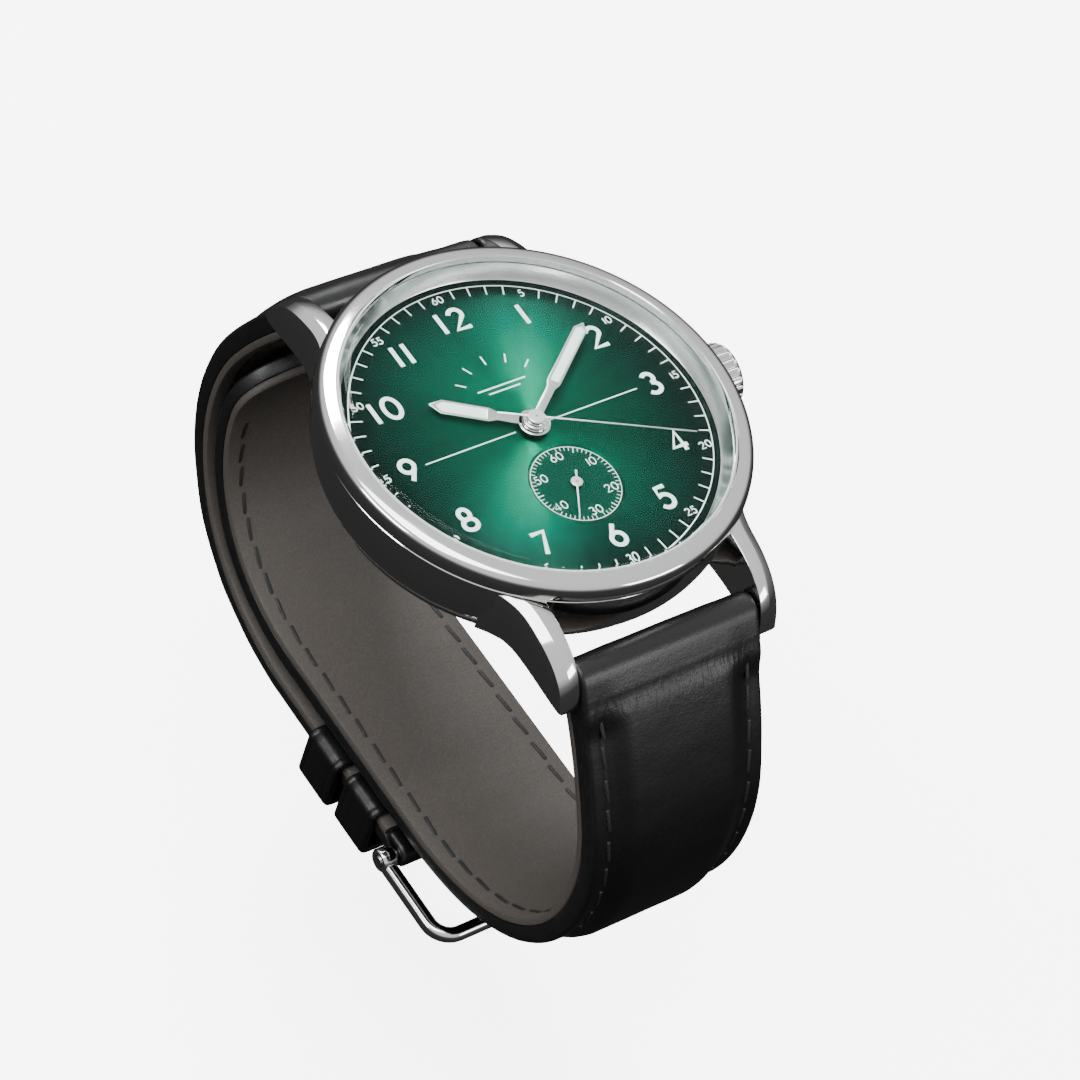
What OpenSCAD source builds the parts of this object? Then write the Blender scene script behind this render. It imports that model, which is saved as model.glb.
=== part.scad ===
// Wristwatch: round steel case with four lugs, hand-wound movement with a centre seconds
// hand and a small seconds hand, and a two-part leather strap with a pin buckle.
// The origin is the centre of the case back's outer face. +Z is out of the dial,
// +Y is towards 12 and +X towards 3. All sizes are in millimetres.

/* [Case] */
// Diameter of the bezel, the widest part of the round case
case_d = 40; // [38:0.5:48]
// Width of the bezel's ring, from the crystal's opening to the rim
bezel_w = 1.8; // [1.4:0.1:3]
// Thickness of the case back's plate
back_t = 1.0; // [0.8:0.1:1.6]
// Height of the middle case above the case back's joint
mid_h = 6.6; // [6.6:0.1:8]
// Height of the bezel
bezel_h = 2.1; // [1.8:0.1:3]
// Thickness of the crystal
crystal_t = 1.25; // [1:0.05:2]

/* [Lugs] */
// Gap between a pair of lugs
lug_gap = 20; // [18:1:22]
// Width of one lug
lug_w = 2.5; // [2:0.1:3.5]
// Distance from the middle case's side to a spring bar
bar_gap = 2.7; // [2.5:0.1:6]
// Height of the spring bars above the case back
bar_z = 2.6; // [2:0.1:4]

/* [Crown] */
// Diameter of the crown
crown_d = 6.4; // [5:0.2:7]
// Length of the crown
crown_l = 3.1; // [2.4:0.1:5]
// Number of flutes round the crown
crown_flutes = 24; // [16:1:36]
// How far the crown pulls out to set the hands
crown_pull = 1.0; // [0.6:0.1:1]

/* [Dial and hands] */
// Thickness of the dial
dial_t = 0.4; // [0.3:0.05:0.5]
// Distance from the dial's centre to the sub-dial's centre, which is the fourth wheel's place
subdial_y = 7.0; // [6.8:0.1:7.2]
// Radius of the sub-dial
subdial_r = 4.45; // [3.6:0.05:4.8]
// Length of the hour hand
hour_l = 9.6; // [7:0.1:11]
// Length of the minute hand
minute_l = 13.3; // [11:0.1:15]
// Length of the centre seconds hand
seconds_l = 14.8; // [12:0.1:16]
// Length of the small seconds hand
small_l = 4.0; // [3:0.1:4.2]

/* [Strap] */
// Length of the strap half with the buckle, from spring bar to buckle bar
strap_12_l = 80; // [72:1:88]
// Length of the strap half with the holes, from spring bar to tip
strap_6_l = 115; // [100:1:118]
// Thickness of the strap beside the case
strap_t1 = 3.8; // [3:0.1:4]
// Thickness of the strap's free end
strap_t2 = 2.4; // [2:0.1:2.8]
// Width of the strap at the buckle
strap_w2 = 18; // [16:1:20]
// Thickness of the lining leather
lining_t = 0.8; // [0.6:0.1:1]

/* [Buckle] */
// Length of the buckle's arms, from the bar to the cross piece
frame_l = 10; // [9:0.5:12]
// Thickness of the buckle's arms
frame_t = 1.6; // [1.2:0.1:1.8]
// Width of each keeper
keeper_w = 5; // [3:0.5:5.5]

/* [Movement] */
// Diameter of the main plate
plate_d = 33; // [32:0.5:34]
// Thickness of the main plate
plate_t = 1.4; // [1.2:0.1:1.6]
// Thickness of the bridges
bridge_t = 0.65; // [0.5:0.05:0.7]

/* [Hidden] */
$fn = 96;

// Clearances
run = 0.04;       // running fit, radial
slip = 0.05;      // parts that slide together by hand, radial
air = 0.1;        // between a wheel and what it passes

// Case, from the centre outwards and from the back upwards
case_r = case_d / 2;
glass_seat_r = case_r - bezel_w;          // bezel's bore
gasket_w = 0.25;
crystal_r = glass_seat_r - gasket_w;
bore_r = glass_seat_r - 0.15;             // middle case's bore
flange_r = bore_r - slip;
dial_r = flange_r;
side_r = case_r - 0.3;                    // middle case's side
bar_y = side_r + bar_gap;                 // spring bars
lug_root_y = case_r * 0.7;                // the lugs start inside the case's side
back_r = case_r - 2.1;                    // case back's plate
thread_r = case_r - 3.05;                 // case back's screwed collar
lip_t = 0.6;                              // middle case's lip that the back screws into
groove_h = 0.2;                           // shadow line under the bezel
groove_d = 0.6;
mid_top = back_t + mid_h;
bezel_top = mid_top + bezel_h;
crystal_z = bezel_top - 0.7;
flange_top = crystal_z - air;

// Movement, stacked from the back upwards
ratchet_z = back_t + 0.5;
ratchet_t = 0.35;
sweep_z = back_t + 0.12;
wheel_t = 0.2;
bridge_z = ratchet_z + ratchet_t + air;
bridge_top = bridge_z + bridge_t;
centre_z = bridge_top + 0.08;
third_z = centre_z + wheel_t + 0.12;
barrel_z = third_z + wheel_t + air;
barrel_h = 1.5;
fourth_z = barrel_z + 0.2;
escape_z = fourth_z + wheel_t + 0.4;
plate_z = barrel_z + barrel_h + air;
plate_top = plate_z + plate_t;
works_z = plate_top + 0.03;               // motion works under the dial
works_t = 0.15;
dial_z = works_z + 2 * works_t + 0.17;
dial_top = dial_z + dial_t;
hour_z = dial_top + 0.35;
hand_t = 0.2;
minute_z = hour_z + hand_t + 0.25;
seconds_z = minute_z + hand_t + 0.25;
seconds_t = 0.15;
small_z = dial_top + 0.1;

// Arbor radii
pivot_r = 0.15;
arbor_r = 0.28;
seconds_arbor_r = 0.12;
centre_arbor_r = 0.3;                     // hollow, the seconds arbor runs in it
cannon_r = 0.5;
hour_tube_r = 0.8;
jewel_r = 0.7;

// Gear train: teeth, modules and places
barrel_n = 84;
barrel_m = 0.145;
centre_pinion_n = 12;
centre_n = 80;
centre_m = 0.13;
third_pinion_n = 10;
third_n = 75;
third_m = 0.12;
fourth_pinion_n = 10;
fourth_n = 80;
fourth_m = 0.11;
escape_pinion_n = 8;
sweep_n = 75;
sweep_pinion_n = 10;
ratchet_n = 45;
crown_wheel_n = 30;
ratchet_m = 0.2;
stem_pinion_n = 14;
stem_m = 0.2;
cannon_n = 12;
cannon_m = 0.125;
minute_n = 36;
minute_pinion_n = 10;
hour_n = 40;
hour_m = 0.12;

function mesh_distance(n1, n2, m) = (n1 + n2) * m / 2;
function polar(r, a) = [r * cos(a), r * sin(a)];

barrel_a = 55;
barrel_p = polar(mesh_distance(barrel_n, centre_pinion_n, barrel_m), barrel_a);
centre_to_third = mesh_distance(centre_n, third_pinion_n, centre_m);
third_to_fourth = mesh_distance(third_n, fourth_pinion_n, third_m);
fourth_p = [0, -subdial_y];
// The third wheel lies where it meshes with both the centre wheel and the fourth pinion
third_a = -90 + acos((centre_to_third ^ 2 + subdial_y ^ 2 - third_to_fourth ^ 2)
    / (2 * centre_to_third * subdial_y));
third_p = polar(centre_to_third, third_a);
third_to_fourth_a = atan2(fourth_p[1] - third_p[1], fourth_p[0] - third_p[0]);
escape_a = 198;
escape_p = fourth_p + polar(mesh_distance(fourth_n, escape_pinion_n, fourth_m), escape_a);
escape_r = 2.5;
pallet_p = escape_p + polar(3.62, 121);
balance_p = pallet_p + polar(5.16, 121.5);
balance_r = 4.5;
sweep_m = 2 * centre_to_third / (sweep_n + sweep_pinion_n);
stem_z = plate_z - 0.5;
crown_wheel_r = crown_wheel_n * ratchet_m / 2;
// The crown wheel's axis crosses the stem's, and its edge passes under the winding pinion
crown_wheel_p = [barrel_p[0] + sqrt(mesh_distance(ratchet_n, crown_wheel_n, ratchet_m) ^ 2
    - barrel_p[1] ^ 2), 0];
ratchet_a = atan2(barrel_p[1], barrel_p[0] - crown_wheel_p[0]);
minute_wheel_a = -15;
minute_wheel_p = polar(mesh_distance(cannon_n, minute_n, cannon_m), minute_wheel_a);
plate_r = plate_d / 2;

// Hands at nine minutes past ten, clockwise from 12
hour_a = 304.5;
minute_a = 53.6;
seconds_a = 119;
small_a = 210.6;

// Stem and crown, along +X
stem_r = 0.5;
tube_r = 1.0;
crown_x = side_r + 0.35;
pinion_l = 1.6;
pinion_x = crown_wheel_p[0] + crown_wheel_r - 0.1 - pinion_l / 2;
clutch_l = 1.6;
clutch_x = pinion_x - clutch_l - 0.15;
stem_end_x = clutch_x - 0.5;
lever_x = pinion_x + pinion_l + 0.75;

// Strap
bar_r = 0.85;
bar_pin_r = 0.4;
strap_w1 = lug_gap - 0.4;
strap_flat = 21;                          // straight stretch of the buckle half
strap_bends = [[15, 15], [18, 45], [15, 45], [11, 25]];
strap_in = 3.9;                           // how far the tail lies inside the buckle half
strap_start_a = 50;                       // below horizontal, as the strap leaves the case
wrist_k = (strap_12_l - strap_flat) / 59; // the bends take up the rest of the length
buckle_bar_r = 0.6;
keeper_t = 0.8;

function arc(c, r, a0, a1, n = 8) =
    [for (i = [0:n]) c + polar(r, a0 + (a1 - a0) * i / n)];
function bezier(p, n) = [for (i = [0:n]) let (t = i / n, s = 1 - t)
    s ^ 3 * p[0] + 3 * s ^ 2 * t * p[1] + 3 * s * t ^ 2 * p[2] + t ^ 3 * p[3]];

module tube(r_out, r_in, h) {
    difference() {
        cylinder(h = h, r = r_out);
        translate([0, 0, -1]) cylinder(h = h + 2, r = r_in);
    }
}

module at(p, z = 0) {
    translate([p[0], p[1], z]) children();
}

// Lays what is built along +Z along +X instead
module along_x(x, z) {
    translate([x, 0, z]) rotate([0, 90, 0]) children();
}

module both_ends() {
    children();
    mirror([0, 1, 0]) children();
}

module both_sides() {
    children();
    mirror([1, 0, 0]) children();
}

// A toothed outline. One tooth points along the angle `phase`.
module teeth_2d(n, m, phase) {
    r = n * m / 2;
    half = 90 / n;
    polygon([for (i = [0:n - 1]) let (a = phase + 360 * i / n)
        for (p = [[r - m, -1.3], [r + 0.8 * m, -0.4], [r + 0.8 * m, 0.4], [r - m, 1.3]])
            polar(p[0], a + p[1] * half)]);
}

module pinion(n, m, h, phase) {
    linear_extrude(h) teeth_2d(n, m, phase);
}

// A wheel crossed out with four spokes
module wheel(n, m, h, phase, hub = 0.9, rim = 0.5) {
    rim_r = n * m / 2 - m - rim;
    linear_extrude(h) difference() {
        teeth_2d(n, m, phase);
        for (a = [0:90:270]) rotate(a) polygon(concat(
            arc([0, 0], hub, 22, 68, 6),
            arc([0, 0], rim_r, 80, 10, 12)));
    }
}

// A straight bar between two round ends
module link_2d(p, q, r_p, r_q) {
    a = atan2(q[1] - p[1], q[0] - p[0]) + 90;
    w = min(r_p, r_q);
    polygon([p + polar(w, a), p - polar(w, a), q - polar(w, a), q + polar(w, a)]);
    translate(p) circle(r = r_p, $fn = 32);
    translate(q) circle(r = r_q, $fn = 32);
}

module staff(z0, z1, r = arbor_r) {
    translate([0, 0, z0]) cylinder(h = z1 - z0, r = r, $fn = 32);
}

// Case

module lug() {
    top = bezier([[lug_root_y, mid_top], [bar_y - 1.4, mid_top - 0.6], [bar_y + 1.7, bar_z + 3],
        [bar_y + 2.1, bar_z - 0.6]], 14);
    foot = arc([bar_y + 0.9, bar_z - 0.7], 1.2, 0, -90, 5);
    under = bezier([[bar_y + 0.6, bar_z - 1.9], [bar_y - 1.2, bar_z - 1.7],
        [bar_y - 3, bar_z - 1.5], [lug_root_y, back_t + 0.3]], 10);
    x0 = lug_gap / 2;
    bevel = 0.9;
    difference() {
        translate([x0, 0, 0]) rotate([90, 0, 90]) linear_extrude(lug_w)
            polygon(concat(top, foot, under));
        // bevel along the outer edge, following the top
        translate([x0 + lug_w - bevel, 0, 0]) rotate([90, 0, 90]) linear_extrude(bevel + 1)
            polygon(concat([for (p = top) p - [0, 0.35]], [[bar_y + 3, bar_z], [bar_y + 3, 12],
                [lug_root_y - 1, 12]]));
    }
}

module mid_case() {
    color("silver") difference() {
        union() {
            rotate_extrude() polygon(concat(
                [[thread_r, back_t], [back_r, back_t]],
                bezier([[back_r + 0.3, back_t + 0.3], [side_r - 0.6, back_t + 1.2],
                    [side_r, back_t + 3], [side_r, mid_top - 1.2]], 10),
                [[side_r, mid_top - groove_h], [side_r - groove_d, mid_top - groove_h],
                 [side_r - groove_d, mid_top], [bore_r, mid_top],
                 [bore_r, back_t + lip_t], [thread_r, back_t + lip_t]]));
            difference() {
                both_ends() both_sides() lug();
                translate([0, 0, back_t - 1]) cylinder(h = mid_h + 1, r = side_r - 0.5);
                translate([0, 0, mid_top - groove_h]) cylinder(h = 9, r = case_r + air);
            }
        }
        // spring bar holes
        for (s = [-1, 1]) translate([-lug_gap / 2 - 1, s * bar_y, bar_z]) rotate([0, 90, 0])
            cylinder(h = lug_gap + 2, r = bar_pin_r + run, $fn = 32);
        // crown tube's hole
        along_x(bore_r - 1, stem_z) cylinder(h = 4, r = tube_r);
        // gasket groove
        translate([0, 0, back_t - 1]) tube(back_r - 0.3, back_r - 0.7, 1.3);
    }
}

module bezel() {
    color("gainsboro") rotate_extrude() polygon(concat(
        [[glass_seat_r, mid_top], [case_r - 0.2, mid_top], [case_r, mid_top + 0.2]],
        bezier([[case_r, mid_top + 0.6], [case_r, bezel_top - 0.7],
            [case_r - 0.4, bezel_top - 0.25], [case_r - 0.95, bezel_top - 0.15]], 8),
        [[glass_seat_r, bezel_top]]));
}

module crystal() {
    color("lightcyan", 0.3) translate([0, 0, crystal_z]) rotate_extrude() polygon(
        [[0, 0], [crystal_r, 0], [crystal_r, crystal_t - 0.25], [crystal_r - 0.25, crystal_t],
         [0, crystal_t]]);
}

module crystal_gasket() {
    color("white") translate([0, 0, crystal_z]) tube(glass_seat_r, crystal_r, 0.65);
}

module case_back() {
    color("silver") {
        rotate_extrude() polygon([[0, 0], [back_r - 0.3, 0], [back_r, 0.3], [back_r, back_t],
            [0, back_t]]);
        translate([0, 0, back_t]) tube(thread_r, thread_r - 0.9, lip_t);
    }
}

module case_back_gasket() {
    color("black") translate([0, 0, back_t]) tube(back_r - 0.3, back_r - 0.7, 0.3);
}

module crown_tube() {
    color("silver") along_x(bore_r + 0.1, stem_z) tube(tube_r, stem_r + run, 3.1);
}

module movement_ring() {
    color("gray") difference() {
        translate([0, 0, back_t + lip_t]) tube(flange_r, plate_r + slip,
            dial_z - back_t - lip_t);
        along_x(plate_r - 1, stem_z) cylinder(h = flange_r - plate_r + 2, r = tube_r);
    }
}

module inner_flange() {
    color("silver") translate([0, 0, dial_top]) rotate_extrude() polygon(
        [[flange_r - 0.45, 0], [flange_r, 0], [flange_r, flange_top - dial_top],
         [flange_r - 0.05, flange_top - dial_top]]);
}

module dial() {
    color("darkgreen") difference() {
        translate([0, 0, dial_z]) cylinder(h = dial_t, r = dial_r);
        translate([0, 0, dial_z - 1]) cylinder(h = 3, r = hour_tube_r + air);
        at(fourth_p, dial_z - 1) cylinder(h = 3, r = pivot_r + air);
        at(fourth_p, dial_top - 0.12) cylinder(h = 1, r = subdial_r);
    }
}

module spring_bar() {
    color("silver") translate([0, bar_y, bar_z]) rotate([0, 90, 0]) union() {
        translate([0, 0, 0.15 - lug_gap / 2]) cylinder(h = lug_gap - 0.3, r = bar_r);
        translate([0, 0, -lug_gap / 2 - 0.8]) cylinder(h = lug_gap + 1.6, r = bar_pin_r);
    }
}

module spring_bar_12() {
    spring_bar();
}

module spring_bar_6() {
    mirror([0, 1, 0]) spring_bar();
}

// Hands, each drawn pointing at 12 and then turned clockwise

module leaf(l, w, neck_w, hub_r, neck_l) {
    circle(r = hub_r);
    polygon([[-neck_w / 2, 0], [-neck_w / 2, neck_l], [-w / 2, neck_l + 0.7],
        [-w / 2, l - w * 0.7], [0, l], [w / 2, l - w * 0.7], [w / 2, neck_l + 0.7],
        [neck_w / 2, neck_l], [neck_w / 2, 0]]);
}

module lume_2d(l, w, neck_l) {
    edge = 0.25;
    x = w / 2 - edge;
    polygon([[-x, neck_l + 0.9], [-x, l - w * 0.75], [0, l - edge * 2.4], [x, l - w * 0.75],
        [x, neck_l + 0.9]]);
}

module hour_place() {
    translate([0, 0, hour_z]) rotate([0, 0, -hour_a]) linear_extrude(hand_t) children();
}

module minute_place() {
    translate([0, 0, minute_z]) rotate([0, 0, -minute_a]) linear_extrude(hand_t) children();
}

module hour_hand() {
    color("lightgray") hour_place() difference() {
        leaf(hour_l, 1.6, 0.95, 1.5, 3.4);
        circle(r = hour_tube_r);
        lume_2d(hour_l, 1.6, 3.4);
    }
}

module hour_hand_lume() {
    color("honeydew") hour_place() lume_2d(hour_l, 1.6, 3.4);
}

module minute_hand() {
    color("lightgray") minute_place() difference() {
        leaf(minute_l, 1.3, 0.8, 1.15, 4.2);
        circle(r = cannon_r);
        lume_2d(minute_l, 1.3, 4.2);
    }
}

module minute_hand_lume() {
    color("honeydew") minute_place() lume_2d(minute_l, 1.3, 4.2);
}

module needle(l, tail, w, hub_r) {
    circle(r = hub_r);
    polygon([[-w, -tail], [w, -tail], [w / 2, l], [-w / 2, l]]);
}

module centre_seconds_hand() {
    color("white") translate([0, 0, seconds_z]) rotate([0, 0, -seconds_a])
        linear_extrude(seconds_t) difference() {
            needle(seconds_l, 3.6, 0.2, 0.8);
            circle(r = seconds_arbor_r);
        }
}

module small_seconds_hand() {
    color("white") at(fourth_p, small_z) rotate([0, 0, -small_a])
        linear_extrude(seconds_t) difference() {
            needle(small_l, 1.3, 0.2, 0.55);
            circle(r = pivot_r);
        }
}

// Movement

wheel_places = [third_p, fourth_p, escape_p, pallet_p, balance_p];

module main_plate() {
    pocket = [pinion_x + pinion_l - stem_end_x + 0.4, 3.4, plate_z - 1];
    color("lightgray") difference() {
        union() {
            translate([0, 0, plate_z]) cylinder(h = plate_t, r = plate_r);
            // pillars that carry the bridges
            for (a = [25, 100, 150, 235, 300, 345]) at(polar(plate_r - 1.2, a), bridge_top)
                cylinder(h = plate_z - bridge_top, r = 0.9, $fn = 32);
            // block that guides the stem
            translate([pinion_x + pinion_l + 0.1, -1.3, stem_z - 1.1])
                cube([plate_r - pinion_x - pinion_l - 0.7, 2.6, plate_z - stem_z + 1.2]);
        }
        translate([stem_end_x - 0.2, -pocket[1] / 2, plate_z - 1])
            cube([pocket[0], pocket[1], plate_t + 2]);
        along_x(pinion_x, stem_z) cylinder(h = 8, r = stem_r + run);
        // slot for the setting lever's pin
        translate([lever_x - 0.35, -0.4, stem_z]) cube([crown_pull + 0.7, 3.6, 5]);
        translate([0, 0, plate_z - 1]) cylinder(h = 4, r = centre_arbor_r + run);
        at(barrel_p, plate_z - 1) cylinder(h = 4, r = 0.5 + run);
        at(minute_wheel_p, plate_z + 0.4) cylinder(h = 4, r = pivot_r + run);
        at(fourth_p, plate_z - 1) cylinder(h = 4, r = pivot_r + run);
        for (p = wheel_places) at(p, plate_z - 1) cylinder(h = 1.5, r = jewel_r, $fn = 32);
    }
}

// Part of a bridge's plate: a disc's share on one side of the movement
module bridge_plate(outline) {
    translate([0, 0, bridge_z]) linear_extrude(bridge_t) intersection() {
        circle(r = plate_r);
        polygon(outline);
    }
}

module train_bridge() {
    color("gainsboro") difference() {
        bridge_plate([[-4, 4], [-4, -1.5], [-10, -9.5], [-10, -20], [20, -20], [20, -1.6],
            [1.5, -1.6], [1.5, 4]]);
        translate([0, 0, bridge_z - 1]) cylinder(h = 4, r = centre_arbor_r + run);
        for (p = [third_p, fourth_p, escape_p]) at(p, bridge_z - 1)
            cylinder(h = 4, r = jewel_r, $fn = 32);
        at(balance_p, bridge_z - 1) cylinder(h = 4, r = 2);
        at(crown_wheel_p, bridge_z - 1) cylinder(h = 4, r = crown_wheel_r + 0.4);
    }
}

module barrel_bridge() {
    color("gainsboro") difference() {
        bridge_plate([[-4, 4.3], [1.8, 4.3], [1.8, -1.3], [20, -1.3], [20, 20], [-10, 20],
            [-10, 8]]);
        at(barrel_p, bridge_z - 1) cylinder(h = 4, r = 0.5 + run);
        at(crown_wheel_p, bridge_z - 1) cylinder(h = 4, r = crown_wheel_r + 0.4);
    }
}

module balance_cock() {
    foot = polar(plate_r - 1.1, 186);
    color("gainsboro") difference() {
        union() {
            translate([0, 0, bridge_z]) linear_extrude(bridge_t)
                link_2d(balance_p, foot, 1.6, 1.0);
            at(foot, bridge_z) cylinder(h = plate_z - bridge_z, r = 1.0, $fn = 32);
        }
        at(balance_p, bridge_z - 1) cylinder(h = 4, r = jewel_r, $fn = 32);
    }
}

module pallet_cock() {
    along = balance_p - pallet_p;
    across = [along[1], -along[0]] / norm(along);
    ends = [pallet_p + 2.3 * across, pallet_p - 3.6 * across];
    z = fourth_z + wheel_t - 0.25;
    color("gainsboro") difference() {
        union() {
            translate([0, 0, z]) linear_extrude(0.4) link_2d(ends[0], ends[1], 0.42, 0.42);
            for (p = ends) at(p, z) cylinder(h = plate_z - z, r = 0.42, $fn = 24);
        }
        at(pallet_p, z - 1) cylinder(h = 3, r = pivot_r + run, $fn = 24);
    }
}

module jewel(p, z, h) {
    at(p, z) tube(jewel_r, pivot_r + run, h, $fn = 32);
}

module jewels() {
    color("crimson") {
        for (p = [third_p, fourth_p, escape_p, balance_p]) jewel(p, bridge_z, bridge_t);
        for (p = wheel_places) jewel(p, plate_z, 0.5);
    }
}

module screw(p, z, l) {
    at(p, z) difference() {
        union() {
            cylinder(h = 0.25, r = 0.55, $fn = 32);
            cylinder(h = l, r = 0.3, $fn = 32);
        }
        translate([-1, -0.06, -0.1]) cube([2, 0.12, 0.2]);
    }
}

module bridge_screws() {
    color("royalblue") {
        for (a = [25, 100, 235, 300, 345])
            screw(polar(plate_r - 1.2, a), bridge_z - 0.25, 0.25);
        screw(polar(plate_r - 1.1, 186), bridge_z - 0.25, 0.25);
        at(crown_wheel_p, ratchet_z - 0.35) cylinder(h = 0.25, r = 0.8, $fn = 32);
        at(barrel_p, ratchet_z - 0.25) cylinder(h = 0.25, r = 1.0, $fn = 32);
    }
}

// A flat strip wound in a spiral
module spiral(r0, r1, turns, w, h, a0) {
    steps = turns * 24;
    function edge(i, d) = polar(r0 + (r1 - r0) * i / steps + d, a0 + i * 15);
    linear_extrude(h) polygon(concat([for (i = [0:steps]) edge(i, w / 2)],
        [for (i = [steps:-1:0]) edge(i, -w / 2)]));
}

module barrel() {
    drum_r = barrel_n * barrel_m / 2 - barrel_m - 0.1;
    color("gold") at(barrel_p, barrel_z) difference() {
        union() {
            cylinder(h = barrel_h, r = drum_r);
            translate([0, 0, barrel_h - 0.5])
                pinion(barrel_n, barrel_m, 0.5, barrel_a + 180);
        }
        translate([0, 0, 0.25]) cylinder(h = barrel_h - 0.5, r = drum_r - 0.3);
        translate([0, 0, -1]) cylinder(h = barrel_h + 2, r = 0.7 + run);
    }
}

module mainspring() {
    color("steelblue") at(barrel_p, barrel_z + 0.3)
        spiral(1.6, barrel_n * barrel_m / 2 - barrel_m - 0.6, 8, 0.16, barrel_h - 0.6, 0);
}

module barrel_arbor() {
    color("silver") at(barrel_p) {
        staff(bridge_z - air, plate_top - 0.1, 0.5);
        staff(barrel_z + 0.02, barrel_z + barrel_h - 0.02, 0.7);
        staff(barrel_z + 0.3, barrel_z + barrel_h - 0.3, 1.2);
    }
}

module centre_wheel() {
    color("gold") difference() {
        union() {
            translate([0, 0, centre_z]) wheel(centre_n, centre_m, wheel_t, third_a);
            translate([0, 0, barrel_z + barrel_h - 0.7]) pinion(centre_pinion_n, barrel_m,
                0.75, barrel_a + 180 / centre_pinion_n);
            staff(bridge_z + 0.05, works_z + works_t * 2, centre_arbor_r);
        }
        translate([0, 0, bridge_z - 1]) cylinder(h = 9, r = seconds_arbor_r + run, $fn = 32);
    }
}

module third_wheel() {
    color("gold") at(third_p) {
        translate([0, 0, third_z]) wheel(third_n, third_m, wheel_t, third_to_fourth_a);
        translate([0, 0, centre_z - 0.04]) pinion(third_pinion_n, centre_m, wheel_t + 0.08,
            third_a + 180 + 180 / third_pinion_n);
        staff(centre_z - 0.04, plate_z - 0.05);
        staff(sweep_z + wheel_t, plate_z + 0.45, pivot_r);
    }
}

module sweep_wheel() {
    color("gold") at(third_p, sweep_z) wheel(sweep_n, sweep_m, wheel_t, third_a + 180);
}

module fourth_wheel() {
    color("gold") at(fourth_p) {
        translate([0, 0, fourth_z]) wheel(fourth_n, fourth_m, wheel_t, escape_a);
        translate([0, 0, third_z - 0.04]) pinion(fourth_pinion_n, third_m, wheel_t + 0.08,
            third_to_fourth_a + 180 + 180 / fourth_pinion_n);
        staff(third_z - 0.04, plate_z - 0.05);
        staff(bridge_z + 0.05, small_z + seconds_t, pivot_r);
    }
}

module escape_wheel() {
    teeth = 15;
    step = 360 / teeth;
    color("gold") at(escape_p) {
        translate([0, 0, escape_z]) linear_extrude(wheel_t) difference() {
            polygon([for (i = [0:teeth - 1], p = [[escape_r - 0.6, 0], [escape_r, 3],
                [escape_r, 5], [escape_r - 0.6, 9]]) polar(p[0], p[1] + i * step)]);
            for (a = [0:90:270]) rotate(a + 45) translate([1.15, 0]) circle(r = 0.4);
        }
        translate([0, 0, fourth_z - 0.04]) pinion(escape_pinion_n, fourth_m, wheel_t + 0.08,
            escape_a + 180 + 180 / escape_pinion_n);
        staff(fourth_z - 0.04, plate_z - 0.05, 0.25);
        staff(bridge_z + 0.05, plate_z + 0.45, pivot_r);
    }
}

// The fork's lever points from its arbor at the balance, its pallets span the escape wheel
module pallet_fork() {
    to_balance = atan2(balance_p[1] - pallet_p[1], balance_p[0] - pallet_p[0]);
    color("silver") at(pallet_p) {
        translate([0, 0, escape_z]) rotate(to_balance) linear_extrude(wheel_t) {
            polygon([[-1.4, -2.2], [-0.3, -0.5], [-0.3, 0.5], [-1.4, 2.2], [-0.6, 2.2],
                [0.3, 0.4], [3.6, 0.15], [4.1, 0.5], [4.1, -0.5], [3.6, -0.15], [0.3, -0.4],
                [-0.6, -2.2]]);
            for (s = [-1, 1]) translate([-1.6, s * 2 - 0.15]) square([0.5, 0.3]);
        }
        staff(fourth_z + 0.05, plate_z + 0.45, pivot_r);
    }
}

module balance_wheel() {
    z = barrel_z + 0.15;
    color("gold") at(balance_p) {
        translate([0, 0, z]) {
            tube(balance_r, balance_r - 0.6, 0.45);
            for (a = [90, 210, 330]) rotate([0, 0, a]) translate([0, -0.25, 0.05])
                cube([balance_r - 0.3, 0.5, 0.2]);
        }
        staff(bridge_top + 0.02, plate_z - 0.05, 0.4);
        staff(bridge_z + 0.05, plate_z + 0.45, pivot_r);
    }
}

module hairspring() {
    color("steelblue") at(balance_p, bridge_top + 0.25) spiral(0.55, 3.4, 8, 0.1, 0.18, 40);
}

module ratchet_wheel() {
    color("silver") at(barrel_p, ratchet_z) difference() {
        pinion(ratchet_n, ratchet_m, ratchet_t, ratchet_a + 180);
        translate([0, 0, -1]) cylinder(h = 3, r = 0.3);
    }
}

module crown_wheel() {
    ring_h = stem_z - stem_m * (stem_pinion_n / 2 + 0.8) - 0.02 - ratchet_z - ratchet_t;
    color("silver") at(crown_wheel_p) difference() {
        union() {
            translate([0, 0, ratchet_z])
                pinion(crown_wheel_n, ratchet_m, ratchet_t, ratchet_a + 180 / crown_wheel_n);
            translate([0, 0, ratchet_z + ratchet_t]) difference() {
                tube(crown_wheel_r + 0.1, crown_wheel_r - 0.3, ring_h);
                // contrate teeth on the ring's end
                for (i = [0:crown_wheel_n - 1]) rotate([0, 0, i * 360 / crown_wheel_n])
                    translate([crown_wheel_r - 1, -0.16, ring_h - 0.3]) cube([2, 0.32, 1]);
            }
        }
        translate([0, 0, ratchet_z - 1]) cylinder(h = 3, r = 0.6 + run);
    }
}

// The post that the crown wheel turns on: a disc inside its ring, on a pillar beside the stem
module crown_wheel_seat() {
    seat_r = crown_wheel_r - 0.5;
    color("gainsboro") {
        at(crown_wheel_p, bridge_z) cylinder(h = bridge_t, r = seat_r);
        at(crown_wheel_p, ratchet_z - air) cylinder(h = bridge_z - ratchet_z + 0.2, r = 0.6);
        at(crown_wheel_p - [0, seat_r - 0.4], bridge_top - 0.1)
            cylinder(h = plate_z - bridge_top + 0.1, r = 0.38, $fn = 32);
    }
}

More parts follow.
